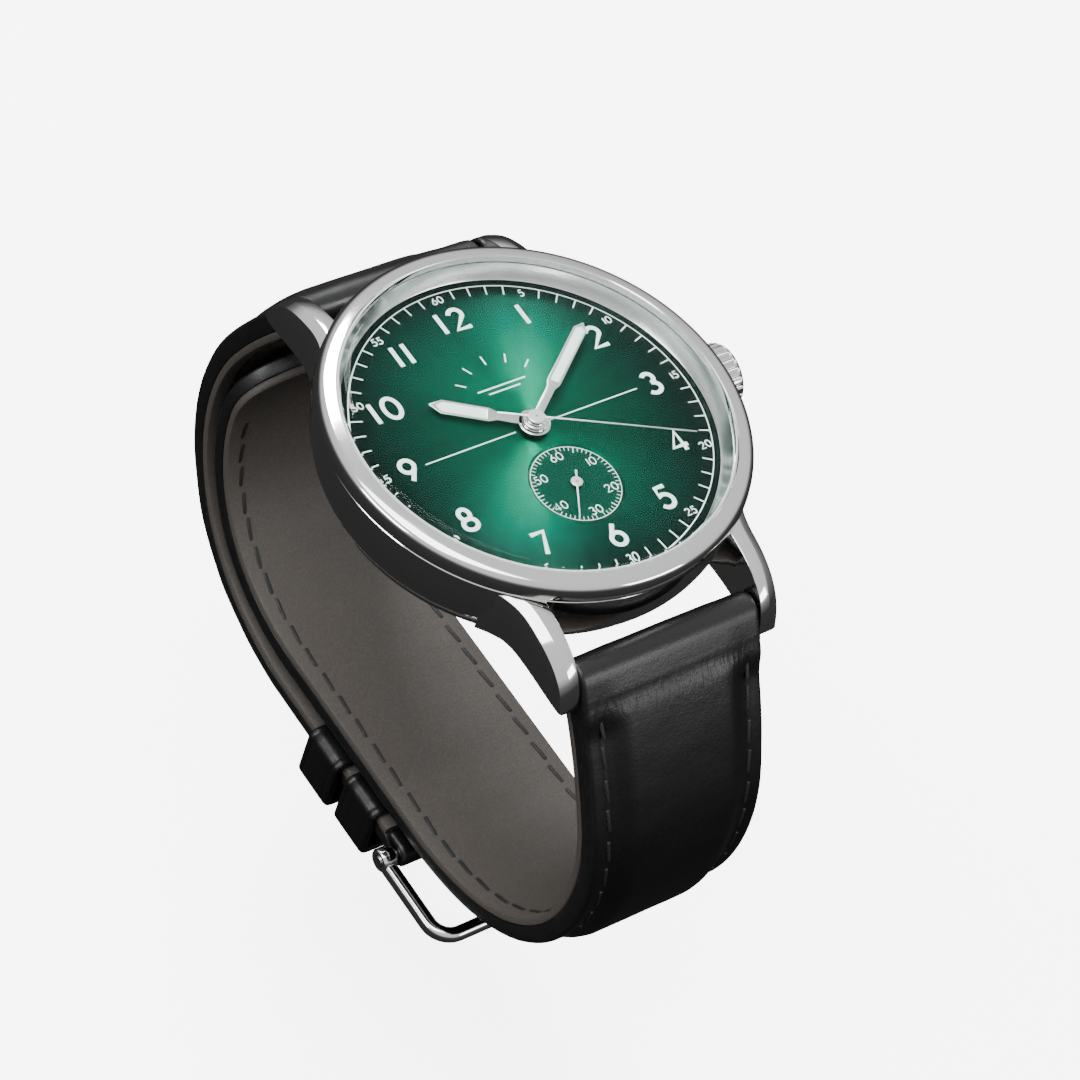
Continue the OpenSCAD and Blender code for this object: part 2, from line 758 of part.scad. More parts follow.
// The click's post and its beak, which stands just clear of the ratchet's teeth
module click() {
    tip = barrel_p + polar(ratchet_m * (ratchet_n / 2 + 0.8) + 0.06, 124);
    post = barrel_p + polar(6.4, 145);
    color("silver") translate([0, 0, ratchet_z]) linear_extrude(0.3) difference() {
        union() {
            translate(post) circle(r = 0.8);
            polygon([post + [-0.6, 0.5], tip + polar(0.75, 150), tip,
                tip + polar(0.6, 205), post + [0.5, -0.6]]);
        }
        translate(post) circle(r = 0.3);
    }
}

module cannon_pinion() {
    color("silver") difference() {
        union() {
            translate([0, 0, works_z]) pinion(cannon_n, cannon_m, works_t,
                minute_wheel_a + 180 / cannon_n);
            staff(works_z, minute_z + hand_t, cannon_r);
        }
        translate([0, 0, works_z - 1]) cylinder(h = 6, r = centre_arbor_r + run, $fn = 32);
    }
}

module minute_wheel() {
    color("gold") at(minute_wheel_p) {
        translate([0, 0, works_z]) pinion(minute_n, cannon_m, works_t, minute_wheel_a + 180);
        translate([0, 0, works_z]) pinion(minute_pinion_n, hour_m, 2 * works_t,
            minute_wheel_a + 180);
        staff(plate_z + 0.45, works_z + 2 * works_t, pivot_r);
    }
}

module hour_wheel() {
    color("gold") difference() {
        union() {
            translate([0, 0, works_z + works_t + 0.02]) pinion(hour_n, hour_m, works_t,
                minute_wheel_a + 180 / hour_n);
            staff(works_z + works_t + 0.02, hour_z + hand_t, hour_tube_r);
        }
        translate([0, 0, works_z]) cylinder(h = 3, r = cannon_r + run, $fn = 32);
    }
}

module centre_seconds_pinion() {
    color("gold") {
        translate([0, 0, sweep_z]) pinion(sweep_pinion_n, sweep_m, wheel_t,
            third_a + 180 / sweep_pinion_n);
        staff(sweep_z, seconds_z + seconds_t, seconds_arbor_r);
    }
}

// Crown and keyless works

module crown() {
    r = crown_d / 2;
    color("silver") along_x(crown_x, stem_z) difference() {
        rotate_extrude() polygon([[0, 0], [r - 0.3, 0], [r, 0.3], [r, crown_l - 0.5],
            [r - 0.5, crown_l], [0, crown_l]]);
        translate([0, 0, -1]) cylinder(h = crown_l - 0.1, r = tube_r + 0.5);
        for (i = [0:crown_flutes - 1]) rotate([0, 0, i * 360 / crown_flutes])
            translate([r + 0.12, 0, -1]) cylinder(h = crown_l + 2, r = 0.3, $fn = 24);
    }
}

module crown_gasket() {
    color("black") along_x(crown_x + 0.2, stem_z) tube(tube_r + 0.5, tube_r + slip, 0.7);
}

module winding_stem() {
    color("silver") along_x(stem_end_x, stem_z) difference() {
        cylinder(h = crown_x + crown_l - 1.1 - stem_end_x, r = stem_r, $fn = 48);
        // groove for the setting lever's pin
        translate([0, 0, lever_x - stem_end_x - 0.3]) tube(1, 0.28, 0.6);
    }
}

module winding_pinion() {
    color("silver") along_x(pinion_x, stem_z) difference() {
        pinion(stem_pinion_n, stem_m, pinion_l, 0);
        translate([0, 0, -1]) cylinder(h = pinion_l + 2, r = stem_r + run, $fn = 48);
    }
}

module sliding_pinion() {
    color("silver") along_x(clutch_x, stem_z) difference() {
        cylinder(h = clutch_l, r = 1.1, $fn = 48);
        translate([0, 0, -1]) cylinder(h = clutch_l + 2, r = stem_r + run, $fn = 48);
        translate([0, 0, 0.55]) tube(2, 0.8, 0.5);
    }
}

module setting_lever() {
    z = plate_top + 0.03;
    color("silver") {
        translate([lever_x, 0, z]) linear_extrude(0.25) difference() {
            union() {
                polygon([[-0.25, -0.25], [0.25, -0.25], [0.7, 3], [-0.7, 3]]);
                translate([0, 3.1]) circle(r = 0.8);
            }
            translate([0, 3.1]) circle(r = 0.3);
        }
        translate([lever_x, 0, stem_z + 0.32]) cylinder(h = z - stem_z - 0.2, r = 0.18,
            $fn = 24);
    }
}

module yoke() {
    z = plate_top + 0.03;
    x = clutch_x + 0.8;
    color("silver") {
        translate([x, 0, z]) linear_extrude(0.25) difference() {
            union() {
                polygon([[-0.25, 0.25], [0.25, 0.25], [0.6, -4], [-0.6, -4]]);
                translate([0, -4.2]) circle(r = 0.75);
            }
            translate([0, -4.2]) circle(r = 0.3);
        }
        translate([x, 0, stem_z + 0.85]) cylinder(h = z - stem_z - 0.7, r = 0.15, $fn = 24);
    }
}

// Strap. A path is a list of [point, direction] in the plane across the watch, worked out
// from a list of bends, each [length, angle turned].

function fine(bends) = [for (b = bends) let (n = max(1, ceil(b[1] / 6)))
    for (i = [1:n]) [b[0] / n, b[1] / n]];
function path(bends, p = [bar_y, bar_z], a = strap_start_a, i = 0) =
    i == len(bends) ? [[p, a]] : let (mid = a + bends[i][1] / 2)
    concat([[p, a]], path(bends, p + bends[i][0] * [cos(mid), -sin(mid)],
        a + bends[i][1], i + 1));
function side(path, d0, d1, k0 = 0, k1 = 1) = [for (i = [0:len(path) - 1])
    let (t = i / (len(path) - 1), d = d0 + (d1 - d0) * t, a = path[i][1])
    path[i][0] + d * [sin(a), cos(a)]];
function flip(list) = [for (i = [len(list) - 1:-1:0]) list[i]];

bends_12 = concat([for (b = strap_bends) [b[0] * wrist_k, b[1]]], [[strap_flat, 0]]);
path_12 = path(fine(bends_12));
flat_z = path_12[len(path_12) - 1][0][1];       // middle of the buckle half's flat stretch
bar_p = path_12[len(path_12) - 1][0];           // buckle bar
flat_y = bar_p[0] + strap_flat;

// The tail follows the inside of the buckle half, so its bends are tighter there
function bend_r(b) = b[0] / (b[1] * PI / 180);
function inner(b) = [(bend_r(b) - strap_in) * b[1] * PI / 180, b[1]];
lead_in = [bends_12[0], [bends_12[1][0] - strap_in * 0.72, bends_12[1][1]],
    [bends_12[2][0] - strap_in * 0.46, bends_12[2][1]], bends_12[3]];
lead_path = path(fine(lead_in));
lead_end = lead_path[len(lead_path) - 1][0];
tail_flat = flat_y + lead_end[0];
follow = [inner(bends_12[3]), inner(bends_12[2])];
follow_l = follow[0][0] + follow[1][0];
lead_l = lead_in[0][0] + lead_in[1][0] + lead_in[2][0] + lead_in[3][0];
tail_end = inner(bends_12[1]);
tail_left = strap_6_l - lead_l - tail_flat - follow_l;
bends_6 = concat(lead_in, [[tail_flat, 0]], follow,
    [[tail_left, tail_left / tail_end[0] * tail_end[1]]]);
path_6 = path(fine(bends_6));

// Half width of the strap, narrowing downwards
module strap_width() {
    taper_z = -30;
    rotate([90, 0, 0]) translate([0, 0, -60]) linear_extrude(120)
        polygon([[-strap_w1 / 2, 8], [-strap_w1 / 2, bar_z], [-strap_w2 / 2, taper_z],
            [-strap_w2 / 2, -60], [strap_w2 / 2, -60], [strap_w2 / 2, taper_z],
            [strap_w1 / 2, bar_z], [strap_w1 / 2, 8]]);
}

// A layer between two distances from the strap's middle line, each given at both ends
module layer(path, out0, out1, in0, in1) {
    intersection() {
        translate([-15, 0, 0]) rotate([90, 0, 90]) linear_extrude(30)
            polygon(concat(side(path, out0, out1), flip(side(path, in0, in1))));
        strap_width();
    }
}

module strap_leather(path, tip) {
    o0 = strap_t1 / 2;
    o1 = strap_t2 / 2;
    difference() {
        union() {
            layer(path, o0, o1, lining_t - o0, lining_t - o1);
            translate([-strap_w1 / 2, bar_y, bar_z]) rotate([0, 90, 0])
                cylinder(h = strap_w1, r = o0);
            if (tip == 0) translate([-strap_w2 / 2, bar_p[0], bar_p[1]]) rotate([0, 90, 0])
                cylinder(h = strap_w2, r = o1 + 0.25);
        }
        translate([-20, bar_y, bar_z]) rotate([0, 90, 0]) cylinder(h = 40, r = bar_r + run);
        if (tip == 0) {
            translate([-20, bar_p[0], bar_p[1]]) rotate([0, 90, 0])
                cylinder(h = 40, r = buckle_bar_r + run, $fn = 48);
            // slot for the tongue
            translate([-1.4, bar_p[0] - 3, bar_p[1] - 4]) cube([2.8, 5.2, 8]);
        }
    }
}

module strap_lining(path, tip) {
    o0 = strap_t1 / 2;
    o1 = strap_t2 / 2;
    difference() {
        layer(path, lining_t - o0, lining_t - o1, -o0, -o1);
        translate([-20, bar_y, bar_z]) rotate([0, 90, 0]) cylinder(h = 40, r = o0);
        if (tip == 0) {
            translate([-20, bar_p[0], bar_p[1]]) rotate([0, 90, 0])
                cylinder(h = 40, r = o1 + 0.25);
            translate([-1.4, bar_p[0] - 3, bar_p[1] - 4]) cube([2.8, 5.2, 8]);
        }
    }
}

// Adjustment holes, on the flat stretch
module strap_holes() {
    for (i = [0:3]) translate([0, lead_end[0] - tail_flat + 2.5 + i * 6, flat_z - 5])
        cylinder(h = 20, r = 0.9, $fn = 24);
}

module strap_12_leather() {
    color([0.06, 0.06, 0.06]) strap_leather(path_12, 0);
}

module strap_12_lining() {
    color("dimgray") strap_lining(path_12, 0);
}

module strap_6_leather() {
    color([0.06, 0.06, 0.06]) mirror([0, 1, 0]) difference() {
        strap_leather(path_6, 1);
        strap_holes();
    }
}

module strap_6_lining() {
    color("dimgray") mirror([0, 1, 0]) difference() {
        strap_lining(path_6, 1);
        strap_holes();
    }
}

module buckle_bar() {
    color("silver") translate([-strap_w2 / 2 - 2.1, bar_p[0], bar_p[1]]) rotate([0, 90, 0])
        cylinder(h = strap_w2 + 4.2, r = buckle_bar_r, $fn = 48);
}

// A stirrup: two arms from the bar to a rounded cross piece, which lies under the strap
module buckle_frame() {
    x = strap_w2 / 2 + 0.5;
    color("silver") translate([0, bar_p[0], bar_p[1]]) difference() {
        union() {
            both_sides() translate([x, -frame_l, -frame_t / 2 - 0.4])
                cube([1.5, frame_l, frame_t]);
            both_sides() translate([x, 0, 0]) rotate([0, 90, 0])
                cylinder(h = 1.5, r = frame_t / 2 + 0.4);
            translate([-x - 1.5, -frame_l, -0.4]) rotate([0, 90, 0])
                cylinder(h = 2 * x + 3, r = frame_t / 2);
        }
        translate([-20, 0, 0]) rotate([0, 90, 0])
            cylinder(h = 40, r = buckle_bar_r + run, $fn = 48);
    }
}

module buckle_tongue() {
    reach = frame_l + 0.9;
    lift = frame_t / 2 + 0.55;
    color("silver") translate([0, bar_p[0], bar_p[1]]) difference() {
        union() {
            translate([-0.9, 0, 0]) rotate([0, 90, 0]) cylinder(h = 1.8, r = 1.25);
            translate([-0.9, 0, 0]) rotate([90, 0, 90]) linear_extrude(1.8)
                polygon([[0, -1.2], [-2, -1.2 - lift * 0.4], [-reach + 1.5, -lift - 0.85],
                    [-reach, -lift - 0.65], [-reach, -lift - 0.1], [-reach + 1.8, 0.05 - lift],
                    [-2, -0.2], [0, 0.6]]);
        }
        translate([-20, 0, 0]) rotate([0, 90, 0])
            cylinder(h = 40, r = buckle_bar_r + run, $fn = 48);
    }
}

// A flat loop of leather round the buckle half, with room for the tail inside it
module keeper(y, gap) {
    inner_w = strap_w2 + 2 * gap;
    inner_h = 2 * strap_t2 + 0.6;
    top = flat_z + strap_t2 / 2 + 0.15 + (gap > 0.2 ? 0.02 : 0);
    color([0.08, 0.08, 0.08]) translate([0, y, top]) difference() {
        translate([-inner_w / 2 - keeper_t, 0, -inner_h - keeper_t])
            cube([inner_w + 2 * keeper_t, keeper_w, inner_h + 2 * keeper_t]);
        translate([-inner_w / 2, -1, -inner_h]) cube([inner_w, keeper_w + 2, inner_h]);
    }
}

module fixed_keeper() {
    keeper(bar_p[0] + 3.6, 0.05);
}

module free_keeper() {
    keeper(bar_p[0] + 3.6 + keeper_w + 1.2, 0.3);
}

mid_case();
bezel();
crystal();
crystal_gasket();
case_back();
case_back_gasket();
crown_tube();
movement_ring();
inner_flange();
dial();
spring_bar_12();
spring_bar_6();
hour_hand();
hour_hand_lume();
minute_hand();
minute_hand_lume();
centre_seconds_hand();
small_seconds_hand();
main_plate();
train_bridge();
barrel_bridge();
balance_cock();
pallet_cock();
jewels();
bridge_screws();
barrel();
barrel_arbor();
mainspring();
centre_wheel();
third_wheel();
sweep_wheel();
fourth_wheel();
escape_wheel();
pallet_fork();
balance_wheel();
hairspring();
ratchet_wheel();
crown_wheel();
crown_wheel_seat();
click();
cannon_pinion();
minute_wheel();
hour_wheel();
centre_seconds_pinion();
crown();
crown_gasket();
winding_stem();
winding_pinion();
sliding_pinion();
setting_lever();
yoke();
strap_12_leather();
strap_12_lining();
strap_6_leather();
strap_6_lining();
buckle_bar();
buckle_frame();
buckle_tongue();
fixed_keeper();
free_keeper();
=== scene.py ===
"""Wristwatch: the looks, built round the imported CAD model.

Sizes are in millimetres and are turned into metres by MM. The frame is the CAD's: +Z out of
the dial, +Y towards 12, +X towards 3, with the origin at the centre of the case back.
"""

import math

import bpy
from mathutils import Matrix, Vector, noise


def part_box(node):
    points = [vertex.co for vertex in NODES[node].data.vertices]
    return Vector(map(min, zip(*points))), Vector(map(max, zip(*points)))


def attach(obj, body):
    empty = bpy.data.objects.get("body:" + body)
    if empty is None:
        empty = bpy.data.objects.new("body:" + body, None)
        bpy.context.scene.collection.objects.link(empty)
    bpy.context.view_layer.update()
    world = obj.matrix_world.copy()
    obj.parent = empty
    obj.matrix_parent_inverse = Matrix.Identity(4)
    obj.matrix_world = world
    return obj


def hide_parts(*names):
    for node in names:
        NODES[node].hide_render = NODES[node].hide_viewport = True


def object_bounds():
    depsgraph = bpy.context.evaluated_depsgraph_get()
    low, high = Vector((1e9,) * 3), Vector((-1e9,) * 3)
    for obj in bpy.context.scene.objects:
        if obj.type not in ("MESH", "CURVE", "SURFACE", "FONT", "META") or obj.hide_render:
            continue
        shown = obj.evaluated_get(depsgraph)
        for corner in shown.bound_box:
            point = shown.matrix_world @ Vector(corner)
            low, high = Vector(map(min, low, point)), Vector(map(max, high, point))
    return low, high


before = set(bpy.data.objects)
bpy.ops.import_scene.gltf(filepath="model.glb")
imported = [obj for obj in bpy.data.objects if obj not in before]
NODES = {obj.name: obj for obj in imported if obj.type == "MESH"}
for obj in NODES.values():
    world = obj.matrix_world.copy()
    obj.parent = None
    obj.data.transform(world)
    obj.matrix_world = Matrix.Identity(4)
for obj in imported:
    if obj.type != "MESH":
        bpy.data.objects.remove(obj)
cad_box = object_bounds()
MM = 0.001
TURN_STEPS = 160


def low(node):
    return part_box(node)[0] / MM


def high(node):
    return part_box(node)[1] / MM


# Sizes read from the frame
CASE_R = high("bezel").x
BEZEL_Z, BEZEL_TOP = low("bezel").z, high("bezel").z
SIDE_R = high("mid_case").x
LUG_TIP_Y = high("mid_case").y
CASE_Z, CASE_TOP = low("mid_case").z, high("mid_case").z
CRYSTAL_R = high("crystal").x
CRYSTAL_Z, CRYSTAL_TOP = low("crystal").z, high("crystal").z
SEAT_R = high("crystal_gasket").x
BACK_R = high("case_back").x
BACK_PLATE_T = low("mid_case").z
FLANGE_R, FLANGE_TOP = high("inner_flange").x, high("inner_flange").z
DIAL_R, DIAL_Z, DIAL_TOP = high("dial").x, low("dial").z, high("dial").z
HOUR_Z, MINUTE_Z = low("hour_hand").z, low("minute_hand").z
SECONDS_Z, SMALL_Z = low("centre_seconds_hand").z, low("small_seconds_hand").z
HAND_T = high("hour_hand").z - HOUR_Z
BAR = (high("spring_bar_12") + low("spring_bar_12")) / 2
BAR_R = (high("spring_bar_12").y - low("spring_bar_12").y) / 2
STRAP_W1 = 2 * high("strap_12_leather").x
STRAP_W2 = 2 * high("buckle_bar").x - 4.2
BUCKLE_BAR = (high("buckle_bar") + low("buckle_bar")) / 2
CROWN_X, CROWN_END = low("crown").x, high("crown").x
CROWN_R = (high("crown").y - low("crown").y) / 2
STEM_Z = (high("crown").z + low("crown").z) / 2

LUG_GAP = 20.0
LUG_W, LUG_TAPER = 2.5, 0.6
LUG_ROOT_Y = 13.6
LUG_FLARE_Y = 18  # inside this the horn widens into the case
SUBDIAL = Vector((0.0, -7.0))
SUBDIAL_R = 4.45
TRACK_R = 16.6
NUMERAL_R = 13.3


# ---------------------------------------------------------------- mesh helpers

def deselect():
    if bpy.context.object and bpy.context.object.mode != "OBJECT":
        bpy.ops.object.mode_set(mode="OBJECT")
    bpy.ops.object.select_all(action="DESELECT")


def pick(obj):
    deselect()
    obj.select_set(True)
    bpy.context.view_layer.objects.active = obj


def settle(obj):
    """Puts the object's place into its mesh."""
    pick(obj)
    bpy.ops.object.transform_apply(location=True, rotation=True, scale=True)


def place(obj, matrix):
    obj.data.transform(matrix)
    obj.data.update()


def edit_all(obj):
    pick(obj)
    bpy.ops.object.mode_set(mode="EDIT")
    bpy.ops.mesh.select_mode(type="VERT")
    bpy.ops.mesh.select_all(action="SELECT")


def outward(obj):
    edit_all(obj)
    bpy.ops.mesh.remove_doubles(threshold=1e-7)
    bpy.ops.mesh.normals_make_consistent(inside=False)
    bpy.ops.object.mode_set(mode="OBJECT")


def smooth(obj, angle=35):
    pick(obj)
    bpy.ops.object.shade_smooth_by_angle(angle=math.radians(angle))


def modify(obj, kind, **values):
    pick(obj)
    mod = obj.modifiers.new(kind.lower(), kind)
    for key, value in values.items():
        setattr(mod, key, value)
    bpy.ops.object.modifier_apply(modifier=mod.name)


def soften(obj, width, segments=3, angle=40):
    """Rounds the sharp edges by a width in millimetres and shades the faces smooth."""
    if width > 0:
        modify(obj, "BEVEL", width=width * MM, segments=segments, limit_method="ANGLE",
               angle_limit=math.radians(angle), use_clamp_overlap=True,
               miter_outer="MITER_ARC")
    smooth(obj)


def cut(obj, *tools):
    for tool in tools:
        modify(obj, "BOOLEAN", operation="DIFFERENCE", object=tool, solver="EXACT")
        bpy.data.objects.remove(tool, do_unlink=True)


def join(name, objs):
    deselect()
    for o in objs:
        o.select_set(True)
    bpy.context.view_layer.objects.active = objs[0]
    bpy.ops.object.join()
    objs[0].name = name
    return objs[0]


def copy_of(obj, matrix):
    deselect()
    new = obj.copy()
    new.data = obj.data.copy()
    bpy.context.collection.objects.link(new)
    place(new, matrix)
    return new


def round_copies(obj, count):
    """Copies of the piece turned evenly round the Z axis, as a list."""
    made = [copy_of(obj, Matrix.Rotation(-math.tau * i / count, 4, "Z")) for i in range(count)]
    bpy.data.objects.remove(obj, do_unlink=True)
    return made


def turned(name, profile, ring=True, steps=TURN_STEPS, centre=(0, 0)):
    """A shape of revolution about Z, drawn out of a circle, from (radius, height) points."""
    deselect()
    r, z = profile[0]
    bpy.ops.mesh.primitive_circle_add(vertices=steps, radius=r * MM, location=(0, 0, z * MM))
    obj = bpy.context.object
    obj.name = name
    settle(obj)
    edit_all(obj)
    for r_next, z_next in profile[1:]:
        step = (0, 0, (z_next - z) * MM)
        bpy.ops.mesh.extrude_region_move(TRANSFORM_OT_translate={"value": step})
        grow = r_next / r
        bpy.ops.transform.resize(value=(grow, grow, 1), center_override=(0, 0, 0))
        r, z = r_next, z_next
    bpy.ops.mesh.select_all(action="DESELECT")
    bpy.ops.mesh.select_non_manifold()
    if ring:
        bpy.ops.mesh.bridge_edge_loops()
    else:
        bpy.ops.mesh.fill_holes(sides=0)
    bpy.ops.object.mode_set(mode="OBJECT")
    outward(obj)
    place(obj, Matrix.Translation((centre[0] * MM, centre[1] * MM, 0)))
    return obj


def plate(name, outline, z0, z1):
    """A flat piece between two heights, from its outline in the XY plane."""
    deselect()
    bpy.ops.mesh.primitive_circle_add(vertices=len(outline), radius=MM, fill_type="NGON")
    obj = bpy.context.object
    obj.name = name
    for vert, (x, y) in zip(obj.data.vertices, outline):
        vert.co = (x * MM, y * MM, z0 * MM)
    edit_all(obj)
    bpy.ops.mesh.extrude_region_move(TRANSFORM_OT_translate={"value": (0, 0, (z1 - z0) * MM)})
    bpy.ops.object.mode_set(mode="OBJECT")
    outward(obj)
    return obj


def rod(name, r, length, matrix, steps=48):
    """A round bar along its own Z, centred, put in place by a matrix in millimetres."""
    deselect()
    bpy.ops.mesh.primitive_cylinder_add(vertices=steps, radius=r * MM, depth=length * MM)
    obj = bpy.context.object
    obj.name = name
    place(obj, in_metres(matrix))
    return obj


def block(name, low_corner, high_corner):
    deselect()
    bpy.ops.mesh.primitive_cube_add(size=1)
    obj = bpy.context.object
    obj.name = name
    a, b = Vector(low_corner) * MM, Vector(high_corner) * MM
    place(obj, Matrix.Translation((a + b) / 2) @ Matrix.Diagonal((*(b - a), 1)))
    return obj


def in_metres(matrix):
    m = matrix.copy()
    m.translation = m.translation * MM
    return m


def shift(x, y, z):
    return Matrix.Translation((x, y, z))


def spin(angle, axis="Z"):
    return Matrix.Rotation(math.radians(angle), 4, axis)


def ellipse(cx, cy, rx, ry, a0, a1, n=18):
    return [(cx + rx * math.cos(math.radians(a0 + (a1 - a0) * i / n)),
             cy + ry * math.sin(math.radians(a0 + (a1 - a0) * i / n))) for i in range(n + 1)]


def arc(cx, cy, r, a0, a1, n):
    return ellipse(cx, cy, r, r, a0, a1, n)


def bezier(p0, p1, p2, p3, n):
    points = []
    for i in range(n + 1):
        t = i / n
        s = 1 - t
        points.append(tuple(s ** 3 * a + 3 * s * s * t * b + 3 * s * t * t * c + t ** 3 * d
                            for a, b, c, d in zip(p0, p1, p2, p3)))
    return points


def give(obj, body, slot, material, *nodes):
    """Finishes a piece: its material, its body and the CAD nodes it stands for; the slot is not
    used.
    """
    obj.data.materials.clear()
    obj.data.materials.append(material)
    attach(obj, body)
    if nodes:
        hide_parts(*nodes)
    return obj


# ---------------------------------------------------------------- materials

def new_material(name, values=None):
    """A material with plain values set on its shader."""
    material = bpy.data.materials.new(name)
    material.use_nodes = True
    shader = material.node_tree.nodes["Principled BSDF"]
    for key, value in (values or {}).items():
        shader.inputs[key].default_value = value
    return material, material.node_tree, shader


def add(tree, kind, inputs=None, **values):
    node = tree.nodes.new(kind)
    for key, value in values.items():
        setattr(node, key, value)
    for key, value in (inputs or {}).items():
        if hasattr(value, "is_output"):
            tree.links.new(value, node.inputs[key])
        else:
            node.inputs[key].default_value = value
    return node


def ramp(tree, fac, stops):
    node = add(tree, "ShaderNodeValToRGB", {"Fac": fac})
    while len(node.color_ramp.elements) < len(stops):
        node.color_ramp.elements.new(0.5)
    for element, (at, colour) in zip(node.color_ramp.elements, stops):
        element.position = at
        element.color = (*colour, 1)
    return node


def grey(v):
    return (v, v, v)


FLOAT = "NodeSocketFloat"


def make_group(name, sockets, outputs):
    group = bpy.data.node_groups.new(name, "ShaderNodeTree")
    for label, kind, default in sockets:
        socket = group.interface.new_socket(label, in_out="INPUT", socket_type=kind)
        socket.default_value = default
    for label, kind in outputs:
        group.interface.new_socket(label, in_out="OUTPUT", socket_type=kind)
    return group, group.nodes.new("NodeGroupInput"), group.nodes.new("NodeGroupOutput")


def grain_group():
    """Fine handling marks: a roughness that varies, and a height for a bump."""
    group, src, out = make_group(
        "handling_marks", [("Rough", FLOAT, 0.2), ("Spread", FLOAT, 0.1), ("Size", FLOAT, 900.0)],
        [("Roughness", FLOAT), ("Height", FLOAT)])
    coords = add(group, "ShaderNodeTexCoord")
    smear = add(group, "ShaderNodeTexNoise",
                {"Vector": coords.outputs["Object"], "Scale": src.outputs["Size"],
                 "Detail": 5.0, "Roughness": 0.62})
    swing = add(group, "ShaderNodeMath", {0: smear.outputs["Fac"], 1: 0.5},
                operation="SUBTRACT")
    scaled = add(group, "ShaderNodeMath", {0: swing.outputs[0], 1: src.outputs["Spread"]},
                 operation="MULTIPLY")
    total = add(group, "ShaderNodeMath", {0: scaled.outputs[0], 1: src.outputs["Rough"]},
                operation="ADD")
    group.links.new(total.outputs[0], out.inputs["Roughness"])
    group.links.new(smear.outputs["Fac"], out.inputs["Height"])
    return group


def circular_group():
    """Rings round the Z axis, as a turning tool leaves them: a mask from 0 to 1."""
    group, src, out = make_group("turning_rings", [("Rings", FLOAT, 6000.0)], [("Mask", FLOAT)])
    coords = add(group, "ShaderNodeTexCoord")
    parts = add(group, "ShaderNodeSeparateXYZ", {0: coords.outputs["Object"]})
    flat = add(group, "ShaderNodeCombineXYZ", {0: parts.outputs[0], 1: parts.outputs[1]})
    radius = add(group, "ShaderNodeVectorMath", {0: flat.outputs[0]}, operation="LENGTH")
    scaled = add(group, "ShaderNodeMath", {0: radius.outputs["Value"],
                                           1: src.outputs["Rings"]}, operation="MULTIPLY")
    noise = add(group, "ShaderNodeTexNoise", {"W": scaled.outputs[0], "Scale": 1.0,
                                              "Detail": 3.0}, noise_dimensions="1D")
    group.links.new(noise.outputs["Fac"], out.inputs["Mask"])
    return group


def rays_group():
    """Fine rays round the Z axis, as brushing from the centre leaves them."""
    group, src, out = make_group("rays", [("Rays", FLOAT, 60.0)],
                                 [("Mask", FLOAT), ("Radius", FLOAT)])
    coords = add(group, "ShaderNodeTexCoord")
    parts = add(group, "ShaderNodeSeparateXYZ", {0: coords.outputs["Object"]})
    flat = add(group, "ShaderNodeCombineXYZ", {0: parts.outputs[0], 1: parts.outputs[1]})
    radius = add(group, "ShaderNodeVectorMath", {0: flat.outputs[0]}, operation="LENGTH")
    unit = add(group, "ShaderNodeVectorMath", {0: flat.outputs[0]}, operation="NORMALIZE")
    noise = add(group, "ShaderNodeTexNoise", {"Vector": unit.outputs[0],
                                              "Scale": src.outputs["Rays"], "Detail": 4.0})
    group.links.new(noise.outputs["Fac"], out.inputs["Mask"])
    group.links.new(radius.outputs["Value"], out.inputs["Radius"])
    return group


MARKS, RINGS, RAYS = grain_group(), circular_group(), rays_group()


def use(tree, group, **inputs):
    node = tree.nodes.new("ShaderNodeGroup")
    node.node_tree = group
    for key, value in inputs.items():
        node.inputs[key.capitalize()].default_value = value
    return node


def colour_from(tree, shader, socket):
    tree.links.new(socket, shader.inputs["Base Color"])


def roughness_from(tree, shader, socket):
    tree.links.new(socket, shader.inputs["Roughness"])


def bump(tree, shader, height, strength, distance):
    node = add(tree, "ShaderNodeBump", {"Height": height, "Strength": strength,
                                        "Distance": distance * MM})
    tree.links.new(node.outputs["Normal"], shader.inputs["Normal"])
    return node


def polished_metal(name, colour, rough=0.09, spread=0.07):
    material, tree, shader = new_material(name, {"Metallic": 1.0, "Base Color": (*colour, 1)})
    marks = use(tree, MARKS, rough=rough, spread=spread, size=700.0)
    roughness_from(tree, shader, marks.outputs["Roughness"])
    bump(tree, shader, marks.outputs["Height"], 0.03, 0.01)
    return material


def ringed_metal(name, colour, dark, rough=0.3, rings=7000.0, depth=0.25):
    """Metal with circular grain."""
    material, tree, shader = new_material(name, {"Metallic": 1.0, "Anisotropic": 0.5})
    grain = use(tree, RINGS, rings=rings)
    tone = ramp(tree, grain.outputs["Mask"], [(0.25, dark), (0.75, colour)])
    colour_from(tree, shader, tone.outputs["Color"])
    spread = add(tree, "ShaderNodeMapRange", {"Value": grain.outputs["Mask"],
                                              "To Min": rough - 0.08, "To Max": rough + 0.1})
    roughness_from(tree, shader, spread.outputs["Result"])
    bump(tree, shader, grain.outputs["Mask"], depth, 0.01)
    return material


def striped_nickel():
    """Nickel plate with broad, soft stripes across it."""
    material, tree, shader = new_material("striped_nickel", {"Metallic": 1.0})
    coords = add(tree, "ShaderNodeTexCoord")
    turn = add(tree, "ShaderNodeMapping", {"Vector": coords.outputs["Object"],
                                           "Rotation": (0, 0, math.radians(28))})
    wave = add(tree, "ShaderNodeTexWave", {"Vector": turn.outputs[0], "Scale": 190.0,
                                           "Distortion": 0.6}, wave_profile="SAW")
    tone = ramp(tree, wave.outputs["Fac"], [(0.0, (0.42, 0.41, 0.37)), (1.0, (0.78, 0.77, 0.72))])
    colour_from(tree, shader, tone.outputs["Color"])
    marks = use(tree, MARKS, rough=0.26, spread=0.12, size=1200.0)
    roughness_from(tree, shader, marks.outputs["Roughness"])
    bump(tree, shader, wave.outputs["Fac"], 0.3, 0.02)
    return material


